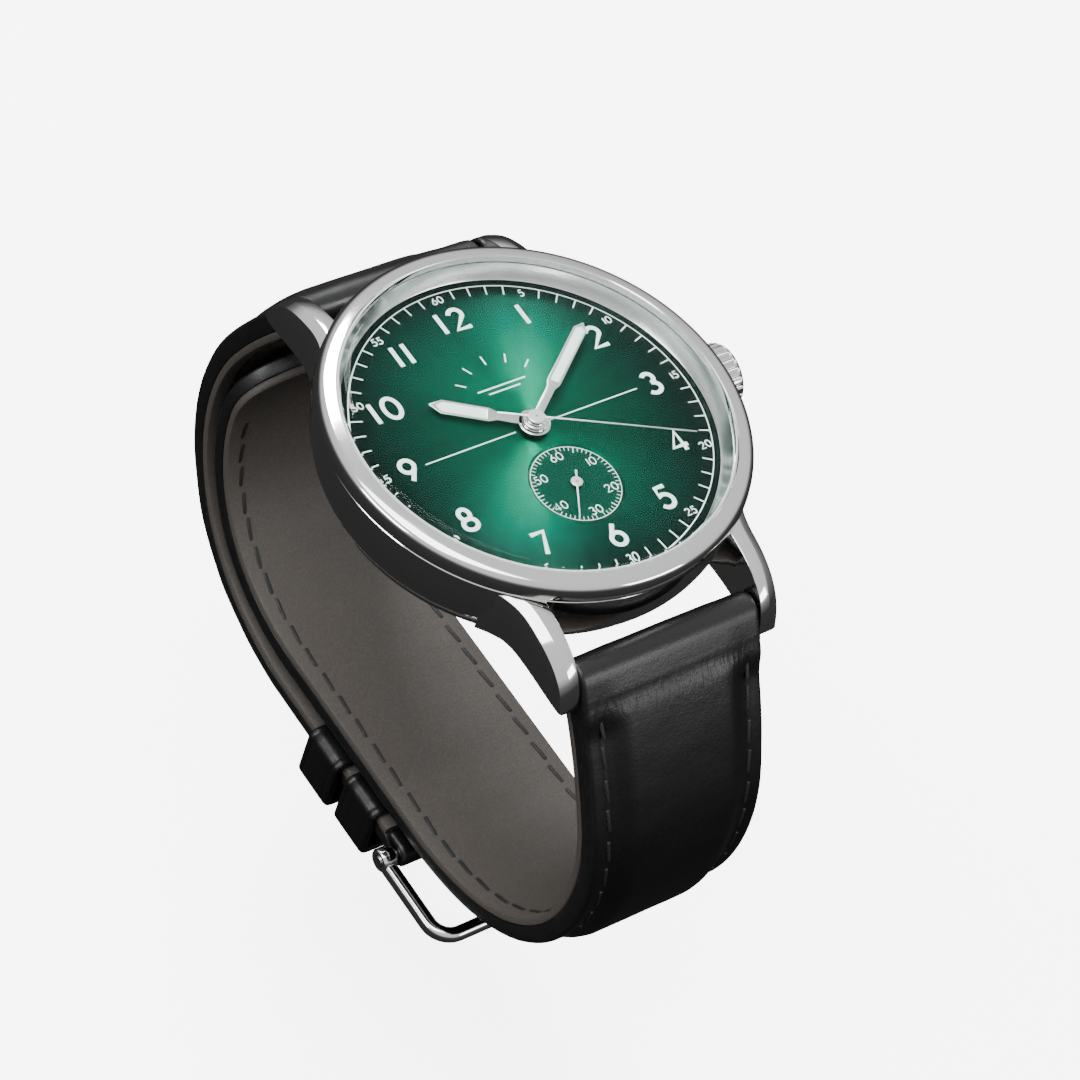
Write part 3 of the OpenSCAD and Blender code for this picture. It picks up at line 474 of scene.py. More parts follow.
def sapphire():
    """The crystal: clear, coated against reflections, with a faint green cast."""
    material, tree, shader = new_material("sapphire", {"Base Color": (0.98, 1.0, 0.99, 1),
        "Transmission Weight": 1.0, "Metallic": 0.0, "IOR": 1.06, "Coat Weight": 0.1,
        "Coat Roughness": 0.02})
    marks = use(tree, MARKS, rough=0.012, spread=0.012, size=300.0)
    roughness_from(tree, shader, marks.outputs["Roughness"])
    return material


def rubber(name, colour):
    material, tree, shader = new_material(name)
    marks = use(tree, MARKS, rough=0.55, spread=0.3, size=2500.0)
    tone = ramp(tree, marks.outputs["Height"], [(0.3, colour), (0.8, tuple(c * 1.6
                                                                         for c in colour))])
    colour_from(tree, shader, tone.outputs["Color"])
    roughness_from(tree, shader, marks.outputs["Roughness"])
    bump(tree, shader, marks.outputs["Height"], 0.2, 0.02)
    return material


def sunburst_green():
    """The dial's lacquer over a brushed sunburst, bright in the middle and dark at the rim."""
    material, tree, shader = new_material("sunburst_green")
    rays = use(tree, RAYS, rays=46.0)
    across = add(tree, "ShaderNodeMath", {0: rays.outputs["Radius"], 1: 1 / (DIAL_R * MM)},
                 operation="MULTIPLY")
    tone = ramp(tree, across.outputs[0], [
        (0.0, (0.0, 0.105, 0.055)), (0.35, (0.0, 0.09, 0.05)),
        (0.68, (0.0, 0.042, 0.027)), (0.9, (0.001, 0.012, 0.009)), (1.0, (0.001, 0.006, 0.005))])
    ray_tone = ramp(tree, rays.outputs["Mask"], [(0.3, grey(0.8)), (0.7, grey(1.15))])
    mixed = add(tree, "ShaderNodeMix", {0: 1.0, 6: tone.outputs["Color"],
                                        7: ray_tone.outputs["Color"]},
                data_type="RGBA", blend_type="MULTIPLY")
    tree.links.new(mixed.outputs[2], shader.inputs["Base Color"])
    shader.inputs["Metallic"].default_value = 1.0
    shader.inputs["Anisotropic"].default_value = 0.85
    shader.inputs["Coat Weight"].default_value = 0.04
    shader.inputs["Coat Roughness"].default_value = 0.06
    tangent = add(tree, "ShaderNodeTangent", direction_type="RADIAL", axis="Z")
    tree.links.new(tangent.outputs[0], shader.inputs["Tangent"])
    spread = add(tree, "ShaderNodeMapRange", {"Value": rays.outputs["Mask"],
                                              "To Min": 0.3, "To Max": 0.42})
    roughness_from(tree, shader, spread.outputs["Result"])
    bump(tree, shader, rays.outputs["Mask"], 0.04, 0.01)
    return material


def snailed_green():
    """The sub-dial: the same lacquer over fine turned rings."""
    material, tree, shader = new_material("snailed_green")
    coords = add(tree, "ShaderNodeTexCoord")
    moved = add(tree, "ShaderNodeVectorMath", {0: coords.outputs["Object"],
                                               1: (0, -SUBDIAL.y * MM, 0)}, operation="ADD")
    flat = add(tree, "ShaderNodeVectorMath", {0: moved.outputs[0], 1: (1, 1, 0)},
               operation="MULTIPLY")
    radius = add(tree, "ShaderNodeVectorMath", {0: flat.outputs[0]}, operation="LENGTH")
    rings = add(tree, "ShaderNodeMath", {0: radius.outputs["Value"], 1: 26000.0},
                operation="MULTIPLY")
    wave = add(tree, "ShaderNodeMath", {0: rings.outputs[0]}, operation="SINE")
    tone = ramp(tree, wave.outputs[0], [(0.0, (0.0, 0.045, 0.028)), (1.0, (0.0, 0.075, 0.045))])
    colour_from(tree, shader, tone.outputs["Color"])
    shader.inputs["Metallic"].default_value = 1.0
    shader.inputs["Coat Weight"].default_value = 0.08
    marks = use(tree, MARKS, rough=0.33, spread=0.1, size=1500.0)
    roughness_from(tree, shader, marks.outputs["Roughness"])
    bump(tree, shader, wave.outputs[0], 0.25, 0.01)
    return material


def paint(name, colour, rough=0.5, painted_glow=0.0):
    material, tree, shader = new_material(name)
    marks = use(tree, MARKS, rough=rough, spread=0.25, size=5000.0)
    tone = ramp(tree, marks.outputs["Height"], [(0.2, tuple(c * 0.86 for c in colour)),
                                               (0.8, colour)])
    colour_from(tree, shader, tone.outputs["Color"])
    roughness_from(tree, shader, marks.outputs["Roughness"])
    bump(tree, shader, marks.outputs["Height"], 0.15, 0.01)
    # The small emission is painted glow: the paint shines a little in its own colour though it is
    # no lamp.
    if painted_glow:
        shader.inputs["Emission Color"].default_value = (*colour, 1)
        shader.inputs["Emission Strength"].default_value = painted_glow
    return material


def ruby():
    material, tree, shader = new_material("ruby")
    marks = use(tree, MARKS, rough=0.07, spread=0.06, size=4000.0)
    tone = ramp(tree, marks.outputs["Height"], [(0.2, (0.35, 0.0, 0.03)),
        (0.8, (0.62, 0.01, 0.08))])
    colour_from(tree, shader, tone.outputs["Color"])
    roughness_from(tree, shader, marks.outputs["Roughness"])
    shader.inputs["Coat Weight"].default_value = 1.0
    return material


def leather(name, colour, worn, rough, cell, depth, crease, gloss=0.5):
    """Leather: small pebbles, hair-fine pores, long soft creases across and rubbed high spots."""
    material, tree, shader = new_material(name)
    coords = add(tree, "ShaderNodeTexCoord")
    cells = add(tree, "ShaderNodeTexVoronoi", {"Vector": coords.outputs["Object"],
                                               "Scale": cell}, feature="SMOOTH_F1")
    pores = add(tree, "ShaderNodeTexNoise", {"Vector": coords.outputs["Object"],
                                             "Scale": cell * 3.1, "Detail": 4.0})
    wide = add(tree, "ShaderNodeVectorMath", {0: coords.outputs["Object"],
                                              1: (0.25, 1.0, 1.0)}, operation="MULTIPLY")
    folds = add(tree, "ShaderNodeTexNoise", {"Vector": wide.outputs[0], "Scale": 260.0,
                                             "Detail": 3.0, "Distortion": 0.6})
    height = add(tree, "ShaderNodeMath", {0: cells.outputs["Distance"], 1: 0.55,
                                          2: pores.outputs["Fac"]}, operation="MULTIPLY_ADD")
    height = add(tree, "ShaderNodeMath", {0: folds.outputs["Fac"], 1: crease,
                                          2: height.outputs[0]}, operation="MULTIPLY_ADD")
    tone = ramp(tree, pores.outputs["Fac"], [(0.3, colour), (0.75, worn)])
    colour_from(tree, shader, tone.outputs["Color"])
    spread = add(tree, "ShaderNodeMapRange", {"Value": folds.outputs["Fac"],
                                              "To Min": rough - 0.09, "To Max": rough + 0.12})
    roughness_from(tree, shader, spread.outputs["Result"])
    shader.inputs["Specular IOR Level"].default_value = gloss
    creased = add(tree, "ShaderNodeMath", {0: near_bar(tree, coords), 1: 6.0,
                                           2: height.outputs[0]}, operation="MULTIPLY_ADD")
    bump(tree, shader, creased.outputs[0], 0.35, depth)
    return material


def near_bar(tree, coords):
    """Fine wrinkles where the leather bends just below a spring bar, and nothing elsewhere."""
    parts = add(tree, "ShaderNodeSeparateXYZ", {0: coords.outputs["Object"]})
    side = add(tree, "ShaderNodeMath", {0: parts.outputs[1]}, operation="ABSOLUTE")
    folded = add(tree, "ShaderNodeCombineXYZ", {1: side.outputs[0], 2: parts.outputs[2]})
    from_bar = add(tree, "ShaderNodeVectorMath",
                   {0: folded.outputs[0], 1: (0, BAR.y * MM, BAR.z * MM)}, operation="DISTANCE")
    band = ramp_between(tree, from_bar.outputs["Value"], 2.4 * MM, 5.6 * MM)
    fine = add(tree, "ShaderNodeVectorMath", {0: coords.outputs["Object"],
                                              1: (1.0, 0.3, 0.3)}, operation="MULTIPLY")
    lines = add(tree, "ShaderNodeTexNoise", {"Vector": fine.outputs[0], "Scale": 2100.0,
                                             "Detail": 3.0, "Distortion": 0.4})
    return add(tree, "ShaderNodeMath", {0: band, 1: lines.outputs["Fac"]},
               operation="MULTIPLY").outputs[0]


def ramp_between(tree, value, start, end):
    """1 in the middle between two values, falling softly to 0 at both."""
    share = add(tree, "ShaderNodeMapRange", {"Value": value, "From Min": start, "From Max": end})
    return ramp(tree, share.outputs["Result"], [(0.0, grey(0)), (0.35, grey(1)), (0.5, grey(0.8)),
                                                (1.0, grey(0))]).outputs["Color"]


def thread(name, colour):
    """Waxed twisted thread: slanting ply lines along each stitch."""
    material, tree, shader = new_material(name)
    coords = add(tree, "ShaderNodeTexCoord")
    turn = add(tree, "ShaderNodeMapping", {"Vector": coords.outputs["Object"],
                                           "Rotation": (0.5, 0.4, 0.6)})
    wave = add(tree, "ShaderNodeTexWave", {"Vector": turn.outputs[0], "Scale": 1500.0,
                                           "Distortion": 1.0})
    tone = ramp(tree, wave.outputs["Fac"], [(0.2, tuple(c * 0.6 for c in colour)),
                                            (0.8, colour)])
    colour_from(tree, shader, tone.outputs["Color"])
    shader.inputs["Roughness"].default_value = 0.55
    bump(tree, shader, wave.outputs["Fac"], 0.5, 0.03)
    return material


STEEL = polished_metal("polished_steel", (0.80, 0.80, 0.79))
FLANGE_STEEL = polished_metal("flange_steel", (0.86, 0.86, 0.85), 0.2, 0.08)
STEEL_DARK = polished_metal("polished_steel_side", (0.62, 0.62, 0.62), 0.13)
SATIN = ringed_metal("satin_steel", (0.66, 0.66, 0.65), (0.5, 0.5, 0.49), 0.3, 9000.0, 0.12)
HAND_STEEL = polished_metal("hand_steel", (0.83, 0.84, 0.83), 0.16, 0.1)
GLASS = sapphire()
GREEN = sunburst_green()
GREEN_SNAIL = snailed_green()
# The lume's emission of 0.06 is partly the luminous paint's own glow and partly painted glow that
# brightens it.
LUME = paint("luminous_paint", (0.66, 0.80, 0.74), 0.6, 0.06)
# The dial print's emission of 0.05 is painted glow: the print is plain paint, not a lamp.
PRINT = paint("dial_print", (0.62, 0.78, 0.72), 0.5, 0.05)
PALE = polished_metal("pale_hand_lacquer", (0.82, 0.86, 0.84), 0.3, 0.1)
NICKEL = striped_nickel()
BRASS = ringed_metal("gilt_brass", (0.86, 0.62, 0.24), (0.6, 0.42, 0.14), 0.26, 5000.0)
RUBY = ruby()
BLUED = polished_metal("blued_steel", (0.03, 0.07, 0.34), 0.15)
BLACK_RUBBER = rubber("black_rubber", (0.012, 0.012, 0.012))
CLEAR_SEAL = rubber("pale_seal", (0.42, 0.46, 0.44))
LEATHER = leather("black_leather", (0.0022, 0.0022, 0.0024), (0.006, 0.006, 0.0064), 0.36,
                  1500.0, 0.05, 1.2)
LEATHER_EDGE = leather("painted_edge", (0.003, 0.003, 0.003), (0.009, 0.009, 0.009), 0.42,
                       700.0, 0.03, 0.4)
LINING = leather("lining_leather", (0.05, 0.043, 0.037), (0.085, 0.075, 0.066), 0.62,
                 2300.0, 0.05, 0.5)
THREAD = thread("black_thread", (0.016, 0.016, 0.017))


# ---------------------------------------------------------------- case

def case_middle():
    """The case's side and its four lugs, polished, with the shadow line under the bezel."""
    inner = SEAT_R - 0.15
    side = turned("case_side", [
        (BACK_R - 1.0, CASE_Z), (BACK_R, CASE_Z)]
        + bezier((BACK_R + 0.3, CASE_Z + 0.3), (SIDE_R - 0.6, CASE_Z + 1.2),
                 (SIDE_R, CASE_Z + 3), (SIDE_R, CASE_TOP - 1.2), 14)
        + [(SIDE_R, CASE_TOP - 0.35), (SIDE_R - 0.12, CASE_TOP - 0.2),
           (SIDE_R - 0.6, CASE_TOP - 0.2), (SIDE_R - 0.6, CASE_TOP), (inner, CASE_TOP),
           (inner, CASE_Z + 0.6), (BACK_R - 1.0, CASE_Z + 0.6)])
    smooth(side, 32)
    parts = [side]
    lug = one_lug()
    for x in (1, -1):
        for y in (1, -1):
            parts.append(copy_of(lug, Matrix.Diagonal((x, y, 1, 1))))
    bpy.data.objects.remove(lug, do_unlink=True)
    for part in parts[1:]:
        edit_all(part)
        bpy.ops.mesh.normals_make_consistent(inside=False)
        bpy.ops.object.mode_set(mode="OBJECT")
    case = join("case_with_lugs", parts)
    give(case, "case", "polished_steel", STEEL, "mid_case")


def height_on(line, y):
    """The height of a line of (y, z) points at one y."""
    for (y0, z0), (y1, z1) in zip(line, line[1:]):
        if min(y0, y1) <= y <= max(y0, y1) and y0 != y1:
            return z0 + (z1 - z0) * (y - y0) / (y1 - y0)
    return line[-1][1] if abs(y - line[-1][0]) < abs(y - line[0][0]) else line[0][1]


def one_lug():
    """A horn out of the case's side, flat on top, bevelled outside, round at its end."""
    x0, tip, root = LUG_GAP / 2, LUG_TIP_Y, LUG_ROOT_Y
    top = bezier((root, CASE_TOP - 0.24), (tip - 4.2, CASE_TOP - 0.3), (tip - 0.7, BAR.z + 2.9),
                 (tip, BAR.z - 1.3), 60)
    nose, nose_z = 0.5, BAR.z - 1.4
    under = bezier((root, CASE_Z + 0.7), (tip - 5.5, BAR.z - 0.5), (tip - 3.5, BAR.z - 1.5),
                   (tip - nose, nose_z - nose), 40)
    rings = []
    for i in range(45):
        y = root + (tip - 0.03 - root) * math.sin(math.pi / 2 * i / 44)
        high_z = height_on(top, y)
        low_z = height_on(under, y)
        if y > tip - nose:
            low_z = nose_z - math.sqrt(max(0, nose ** 2 - (y - tip + nose) ** 2))
        along = (y - root) / (tip - root)
        flare = 1.45 * max(0.0, (LUG_FLARE_Y - y) / 4.4) ** 2.2
        out_x = x0 + LUG_W - LUG_TAPER * along ** 2 + flare
        in_x = max(x0, math.sqrt(max(0.0, (SIDE_R - 1) ** 2 - y * y)))
        wide, tall = out_x - in_x, high_z - low_z
        drop = min(0.42, tall * 0.3)
        flat = wide - min(0.95, wide * 0.5)
        c = min(0.12, tall * 0.12)
        rings.append([(x, y, z) for x, z in (
            (in_x, low_z + c), (in_x, low_z + tall * 0.5), (in_x, high_z - c),
            (in_x + c * 0.3, high_z - c * 0.3), (in_x + c, high_z),
            (in_x + flat - 0.1, high_z - 0.02), (in_x + flat, high_z - 0.05),
            (in_x + flat + 0.1, high_z - 0.1),
            (out_x - 0.1, high_z - drop + 0.03), (out_x - 0.03, high_z - drop - 0.03),
            (out_x, high_z - drop - 0.12), (out_x - wide * 0.03, low_z + tall * 0.4),
            (out_x - wide * 0.1, low_z + c * 1.5), (out_x - wide * 0.1 - c, low_z + c * 0.3),
            (out_x - wide * 0.1 - 2 * c, low_z), (in_x + c, low_z))])
    lug = sleeve("lug", rings)
    smooth(lug, 24)
    return lug


def bezel():
    """A polished ring with a narrow slope on top."""
    ring = turned("bezel_ring", [(SEAT_R, BEZEL_Z), (CASE_R - 0.25, BEZEL_Z)]
                  + arc(CASE_R - 0.25, BEZEL_Z + 0.25, 0.25, -90, 0, 5)[1:]
                  + bezier((CASE_R, BEZEL_Z + 0.5), (CASE_R, BEZEL_TOP - 0.65),
                           (CASE_R - 0.35, BEZEL_TOP - 0.3),
                           (CASE_R - 0.92, BEZEL_TOP - 0.16), 12)
                  + [(SEAT_R + 0.12, BEZEL_TOP - 0.02), (SEAT_R, BEZEL_TOP - 0.12)], steps=224)
    smooth(ring, 22)
    give(ring, "case", "polished_steel", STEEL, "bezel")


def crystal():
    r, top = CRYSTAL_R, CRYSTAL_TOP
    glass = turned("crystal_glass", [
        (r - 0.12, CRYSTAL_Z), (r, CRYSTAL_Z + 0.12), (r, top - 0.38), (r - 0.1, top - 0.26),
        (r - 0.5, top - 0.08), (r - 1.1, top - 0.02), (r * 0.6, top), (r * 0.3, top),
        (0.4, top)], ring=False, steps=192)
    smooth(glass, 30)
    glass.visible_shadow = False
    give(glass, "case", "crystal", GLASS, "crystal")
    seal_top = high("crystal_gasket").z
    seal = turned("crystal_seal", [(CRYSTAL_R, CRYSTAL_Z), (SEAT_R, CRYSTAL_Z),
                                   (SEAT_R, seal_top - 0.1), (SEAT_R - 0.08, seal_top),
                                   (CRYSTAL_R + 0.05, seal_top)])
    smooth(seal, 35)
    give(seal, "case", "clear_gasket", CLEAR_SEAL, "crystal_gasket")


def rehaut():
    """The steel flange that slopes from the crystal down to the dial."""
    foot_r = TRACK_R + 0.62
    ring = turned("flange_ring", [(foot_r, DIAL_TOP), (FLANGE_R, DIAL_TOP),
                                  (FLANGE_R, FLANGE_TOP), (FLANGE_R - 0.12, FLANGE_TOP),
                                  (foot_r + 0.06, DIAL_TOP + 0.16), (foot_r, DIAL_TOP + 0.1)],
                  steps=224)
    smooth(ring, 25)
    give(ring, "case", "polished_steel", FLANGE_STEEL, "inner_flange")


def back():
    """The screwed back: a stepped, turned plate with six key slots round it."""
    r = BACK_R
    disc = turned("back_plate", [
        (r, BACK_PLATE_T), (r, 0.28), (r - 0.3, 0.03), (r - 2.6, 0.0), (r - 2.75, 0.12),
        (r - 3.1, 0.12), (r - 3.25, 0.0), (1.0, 0.0)][::-1], ring=False, steps=192)
    smooth(disc, 25)
    slot_tool = block("slot", (r - 1.9, -0.9, -0.5), (r + 1, 0.9, 0.42))
    soften(slot_tool, 0.15, 2)
    cut(disc, *round_copies(slot_tool, 6))
    smooth(disc, 25)
    collar = turned("back_collar", [(r - 0.96, BACK_PLATE_T), (r - 0.96, BACK_PLATE_T + 0.6),
                                    (r - 1.85, BACK_PLATE_T + 0.6), (r - 1.85, BACK_PLATE_T)])
    smooth(collar, 25)
    whole = join("back_with_collar", [disc, collar])
    give(whole, "case", "brushed_steel", SATIN, "case_back")


def crown():
    """A fluted cup with a domed, stepped end."""
    r, length = CROWN_R, CROWN_END - CROWN_X
    body = turned("crown_cup", [
        (1.55, 0.0), (r - 0.42, 0.0), (r - 0.12, 0.2), (r, 0.5), (r, length - 0.85),
        (r - 0.18, length - 0.55), (r - 0.5, length - 0.42), (r - 0.62, length - 0.25),
        (r - 1.0, length - 0.1), (r - 2.0, length), (0.2, length)], ring=False, steps=120)
    smooth(body, 30)
    flute = rod("flute", 0.3, length, shift(r + 0.12, 0, length / 2 - 0.75), 16)
    cut(body, join("flutes", round_copies(flute, 24)))
    hollow = rod("hollow", 1.5, 3.6, shift(0, 0, 0.2), 48)
    cut(body, hollow)
    smooth(body, 28)
    place(body, in_metres(shift(CROWN_X, 0, STEM_Z) @ spin(90, "Y")))
    give(body, "crown", "polished_steel", STEEL, "crown")


def spring_bars():
    for name, sign, node in (("bar_at_12", 1, "spring_bar_12"), ("bar_at_6", -1, "spring_bar_6")):
        lay = shift(0, sign * BAR.y, BAR.z) @ spin(90, "Y")
        half = LUG_GAP / 2
        bar = turned(name, [
            (0.2, -half - 0.8), (0.4, -half - 0.7), (0.4, 0.35 - half), (0.62, 0.15 - half),
            (BAR_R, 0.25 - half), (BAR_R, 0.9 - half), (BAR_R - 0.08, 0.95 - half),
            (BAR_R - 0.08, 1.05 - half), (BAR_R, 1.1 - half), (BAR_R, half - 1.1),
            (BAR_R - 0.08, half - 1.05), (BAR_R - 0.08, half - 0.95), (BAR_R, half - 0.9),
            (BAR_R, half - 0.25), (0.62, half - 0.15), (0.4, half - 0.35), (0.4, half + 0.7),
            (0.2, half + 0.8)], ring=False, steps=32)
        smooth(bar, 30)
        place(bar, in_metres(lay))
        give(bar, "case", "polished_steel", STEEL, node)


# ---------------------------------------------------------------- dial

def dial_plate():
    """The disc, with the sub-dial sunk into it and holes for the arbors."""
    disc = turned("dial_disc", [(1.1, DIAL_Z), (DIAL_R, DIAL_Z), (DIAL_R, DIAL_TOP),
                                (1.1, DIAL_TOP)], steps=192)
    sink = turned("sink", [(SUBDIAL_R - 0.14, DIAL_TOP - 0.12), (SUBDIAL_R, DIAL_TOP + 0.02),
                           (SUBDIAL_R, DIAL_TOP + 1)], ring=False, steps=128, centre=SUBDIAL)
    hole = rod("hole", 0.27, 3, shift(SUBDIAL.x, SUBDIAL.y, DIAL_Z), 32)
    cut(disc, sink, hole)
    smooth(disc, 20)
    give(disc, "case", "green_dial", GREEN, "dial")
    floor = turned("subdial_floor", [
        (0.28, DIAL_TOP - 0.118), (SUBDIAL_R - 0.16, DIAL_TOP - 0.118),
        (SUBDIAL_R - 0.16, DIAL_TOP - 0.105), (0.28, DIAL_TOP - 0.105)], steps=128,
        centre=SUBDIAL)
    smooth(floor, 20)
    give(floor, "case", "green_dial", GREEN_SNAIL)


def digit_strokes(digit):
    """The middle lines of a plain geometric figure one unit high, and its width."""
    w = 0.66
    h = w / 2
    if digit == "0":
        return [ellipse(h, 0.5, h, 0.5, 0, 360, 28)], w
    if digit == "1":
        return [[(0.05, 0.0), (0.05, 1.0)]], 0.1
    if digit == "2":
        return [ellipse(h, 0.72, 0.28, 0.28, 165, -28, 14) + [(0.02, 0.0), (w, 0.0)]], w
    if digit == "3":
        upper = ellipse(0.27, 0.76, 0.24, 0.24, 150, -90, 14)
        lower = ellipse(0.27, 0.26, 0.29, 0.26, 90, -150, 16)
        return [upper, lower], 0.58
    if digit == "4":
        return [[(0.48, 0.0), (0.48, 1.0), (0.0, 0.27), (0.66, 0.27)]], 0.66
    if digit == "5":
        return [[(0.54, 1.0), (0.13, 1.0), (0.07, 0.56)]
                + ellipse(0.25, 0.32, 0.31, 0.32, 118, -148, 18)], 0.58
    if digit == "6":
        return [[(0.42, 1.0), (0.05, 0.42)] + ellipse(0.3, 0.3, 0.29, 0.3, 158, 158 + 360,
            26)], 0.6
    if digit == "7":
        return [[(0.0, 1.0), (0.58, 1.0), (0.16, 0.0)]], 0.58
    if digit == "8":
        return [ellipse(0.29, 0.75, 0.22, 0.25, 0, 360, 22),
                ellipse(0.29, 0.26, 0.29, 0.26, 0, 360, 24)], 0.58
    return [[(0.18, 0.0), (0.55, 0.58)] + ellipse(0.3, 0.7, 0.29, 0.3, -22, -22 - 360, 26)], 0.6


def printed(name, strokes, width, height, z, material):
    """Strokes of thick paint: round-edged lines that stand a little above the dial."""
    deselect()
    curve = bpy.data.curves.new(name, "CURVE")
    curve.dimensions = "3D"
    curve.bevel_depth = width / 2 * MM
    curve.bevel_resolution = 2
    curve.use_fill_caps = True
    for stroke in strokes:
        spline = curve.splines.new("POLY")
        closed = len(stroke) > 3 and math.dist(stroke[0], stroke[-1]) < 1e-6
        points = stroke[:-1] if closed else stroke
        spline.points.add(len(points) - 1)
        spline.use_cyclic_u = closed
        for point, (x, y) in zip(spline.points, points):
            point.co = (x * MM, y * MM, 0, 1)
    obj = bpy.data.objects.new(name, curve)
    bpy.context.collection.objects.link(obj)
    pick(obj)
    bpy.ops.object.convert(target="MESH")
    obj = bpy.context.object
    place(obj, in_metres(shift(0, 0, z)) @ Matrix.Diagonal((1, 1, height / width * 2, 1)))
    outward(obj)
    smooth(obj, 60)
    give(obj, "case", "lume", material)


def number_strokes(text, tall, cx, cy, gap=0.26):
    """A number's strokes, upright and centred on a point."""
    drawn = [digit_strokes(c) for c in text]
    width = sum(w for _, w in drawn) + gap * (len(text) - 1)
    x = -width / 2
    strokes = []
    for lines, w in drawn:
        for line in lines:
            strokes.append([(cx + (x + px) * tall, cy + (py - 0.5) * tall) for px, py in line])
        x += w + gap
    return strokes


def on_clock(radius, turns):
    """The point at a share of a turn clockwise from 12."""
    a = math.tau * turns
    return radius * math.sin(a), radius * math.cos(a)


def ticks(radii, count, skip=lambda i: False, centre=(0, 0)):
    lines = []
    for i in range(count):
        if not skip(i):
            a, b = (on_clock(r, i / count) for r in radii)
            lines.append([(centre[0] + a[0], centre[1] + a[1]),
                          (centre[0] + b[0], centre[1] + b[1])])
    return lines


def dial_print():
    hours = []
    for hour in range(1, 13):
        hours += number_strokes(str(hour), 2.3, *on_clock(NUMERAL_R, hour / 12), gap=0.42)
    printed("hour_numerals", hours, 0.44, 0.05, DIAL_TOP, LUME)
    printed("minute_circle", [ellipse(0, 0, TRACK_R, TRACK_R, 0, 360, 180)], 0.1, 0.015,
            DIAL_TOP, PRINT)
    printed("minute_ticks", ticks((TRACK_R - 1.05, TRACK_R), 60, lambda i: i % 5 == 0), 0.13,
            0.015, DIAL_TOP, PRINT)
    minutes = []
    for five in range(5, 61, 5):
        minutes += number_strokes(str(five), 0.72, *on_clock(TRACK_R - 0.72, five / 60))
    printed("minute_numerals", minutes, 0.13, 0.015, DIAL_TOP, PRINT)
    printed("cross_line", [[(-11.6, 0), (-1.9, 0)], [(1.9, 0), (11.6, 0)]], 0.12, 0.015,
            DIAL_TOP, PRINT)
    rays = []
    for angle in (-52, -27, 0, 27, 52):
        a, b = (on_clock(r, angle / 360) for r in (4.1, 5.1))
        rays.append([(a[0], a[1] + 3.6), (b[0], b[1] + 3.6)])
    printed("rays_above_centre", rays, 0.15, 0.015, DIAL_TOP, PRINT)
    printed("plain_mark", [[(-2.6, 5.15), (2.6, 5.15)], [(-1.7, 4.6), (1.7, 4.6)]], 0.16,
            0.015, DIAL_TOP, PRINT)
    subdial_print()


def subdial_print():
    z = DIAL_TOP - 0.105
    r = SUBDIAL_R - 0.3
    ring = ellipse(SUBDIAL.x, SUBDIAL.y, r, r, 0, 360, 96)
    printed("seconds_circle", [ring], 0.07, 0.012, z, PRINT)
    printed("seconds_ticks", ticks((r - 0.42, r), 60, lambda i: i % 5 == 0, SUBDIAL), 0.06,
            0.012, z, PRINT)
    printed("seconds_marks", ticks((r - 0.62, r), 12, lambda i: i % 2 == 0, SUBDIAL), 0.1,
            0.012, z, PRINT)
    numbers = []
    for ten in range(10, 61, 10):
        x, y = on_clock(r - 0.95, ten / 60)
        numbers += number_strokes(str(ten), 0.8, SUBDIAL.x + x, SUBDIAL.y + y)
    printed("seconds_numerals", numbers, 0.11, 0.012, z, PRINT)


# ---------------------------------------------------------------- hands

def leaf_outline(length, width, neck, neck_l):
    half, thin = width / 2, neck / 2
    side = [(thin, 0.2), (thin, neck_l), (half, neck_l + 0.7), (half, length - width * 0.7),
            (0.05, length)]
    return side + [(-x, y) for x, y in reversed(side)]


def leaf_hand(name, body, node, length, width, neck, neck_l, hub, hole, z, angle):
    """A steel leaf with a raised rim, a long window for the paint, and a round boss."""
    blade = plate(name, leaf_outline(length, width, neck, neck_l), z, z + HAND_T)
    x = width / 2 - 0.24
    window = [(x, neck_l + 0.95), (x, length - width * 0.75), (0, length - 0.62),
              (-x, length - width * 0.75), (-x, neck_l + 0.95)]
    tool = plate("window", window, z - 1, z + 1)
    cut(blade, tool)
    soften(blade, 0.05, 2)
    boss = turned("boss", [(hole, z), (hub, z), (hub, z + HAND_T * 0.75),
                           (hub - 0.08, z + HAND_T), (hole + 0.35, z + HAND_T),
                           (hole + 0.3, z + HAND_T + 0.06), (hole, z + HAND_T + 0.06)], steps=64)
    smooth(boss, 30)
    hand = join(name, [blade, boss])
    place(hand, spin(-angle))
    give(hand, body, "polished_steel", HAND_STEEL, node)
    fill = plate(name + "_paint", window, z + 0.02, z + HAND_T - 0.02)
    soften(fill, 0.06, 3)
    place(fill, spin(-angle))
    give(fill, body, "lume", LUME, node + "_lume")


def needle(name, body, node, length, tail, hub, hole, z, angle, centre=(0, 0)):
    thick = 0.15
    outline = [(0.1, -tail), (0.07, length * 0.5), (0.045, length), (-0.045, length),
               (-0.07, length * 0.5), (-0.1, -tail)]
    blade = plate(name, outline, z + 0.02, z + thick - 0.02)
    soften(blade, 0.02, 2)
    boss = turned("boss", [(hole, z), (hub, z), (hub, z + thick * 0.7),
                           (hub - 0.07, z + thick), (hole, z + thick)], steps=48)
    smooth(boss, 30)
    hand = join(name, [blade, boss])
    place(hand, in_metres(shift(*centre, 0)) @ spin(-angle))
    give(hand, body, "pale_hand", PALE, node)


def hands():
    leaf_hand("hour_leaf", "hour_hand", "hour_hand", 9.6, 1.6, 0.95, 3.4, 1.5, 0.8, HOUR_Z, 304.5)
    leaf_hand("minute_leaf", "minute_hand", "minute_hand", 13.3, 1.3, 0.8, 4.2, 1.15, 0.5,
              MINUTE_Z, 53.6)
    needle("seconds_needle", "centre_seconds", "centre_seconds_hand", 14.8, 3.6, 0.8, 0.12,
           SECONDS_Z, 119)
    needle("small_needle", "fourth_wheel", "small_seconds_hand", 4.0, 1.3, 0.55, 0.15, SMALL_Z,
           210.6, SUBDIAL)


# ---------------------------------------------------------------- strap

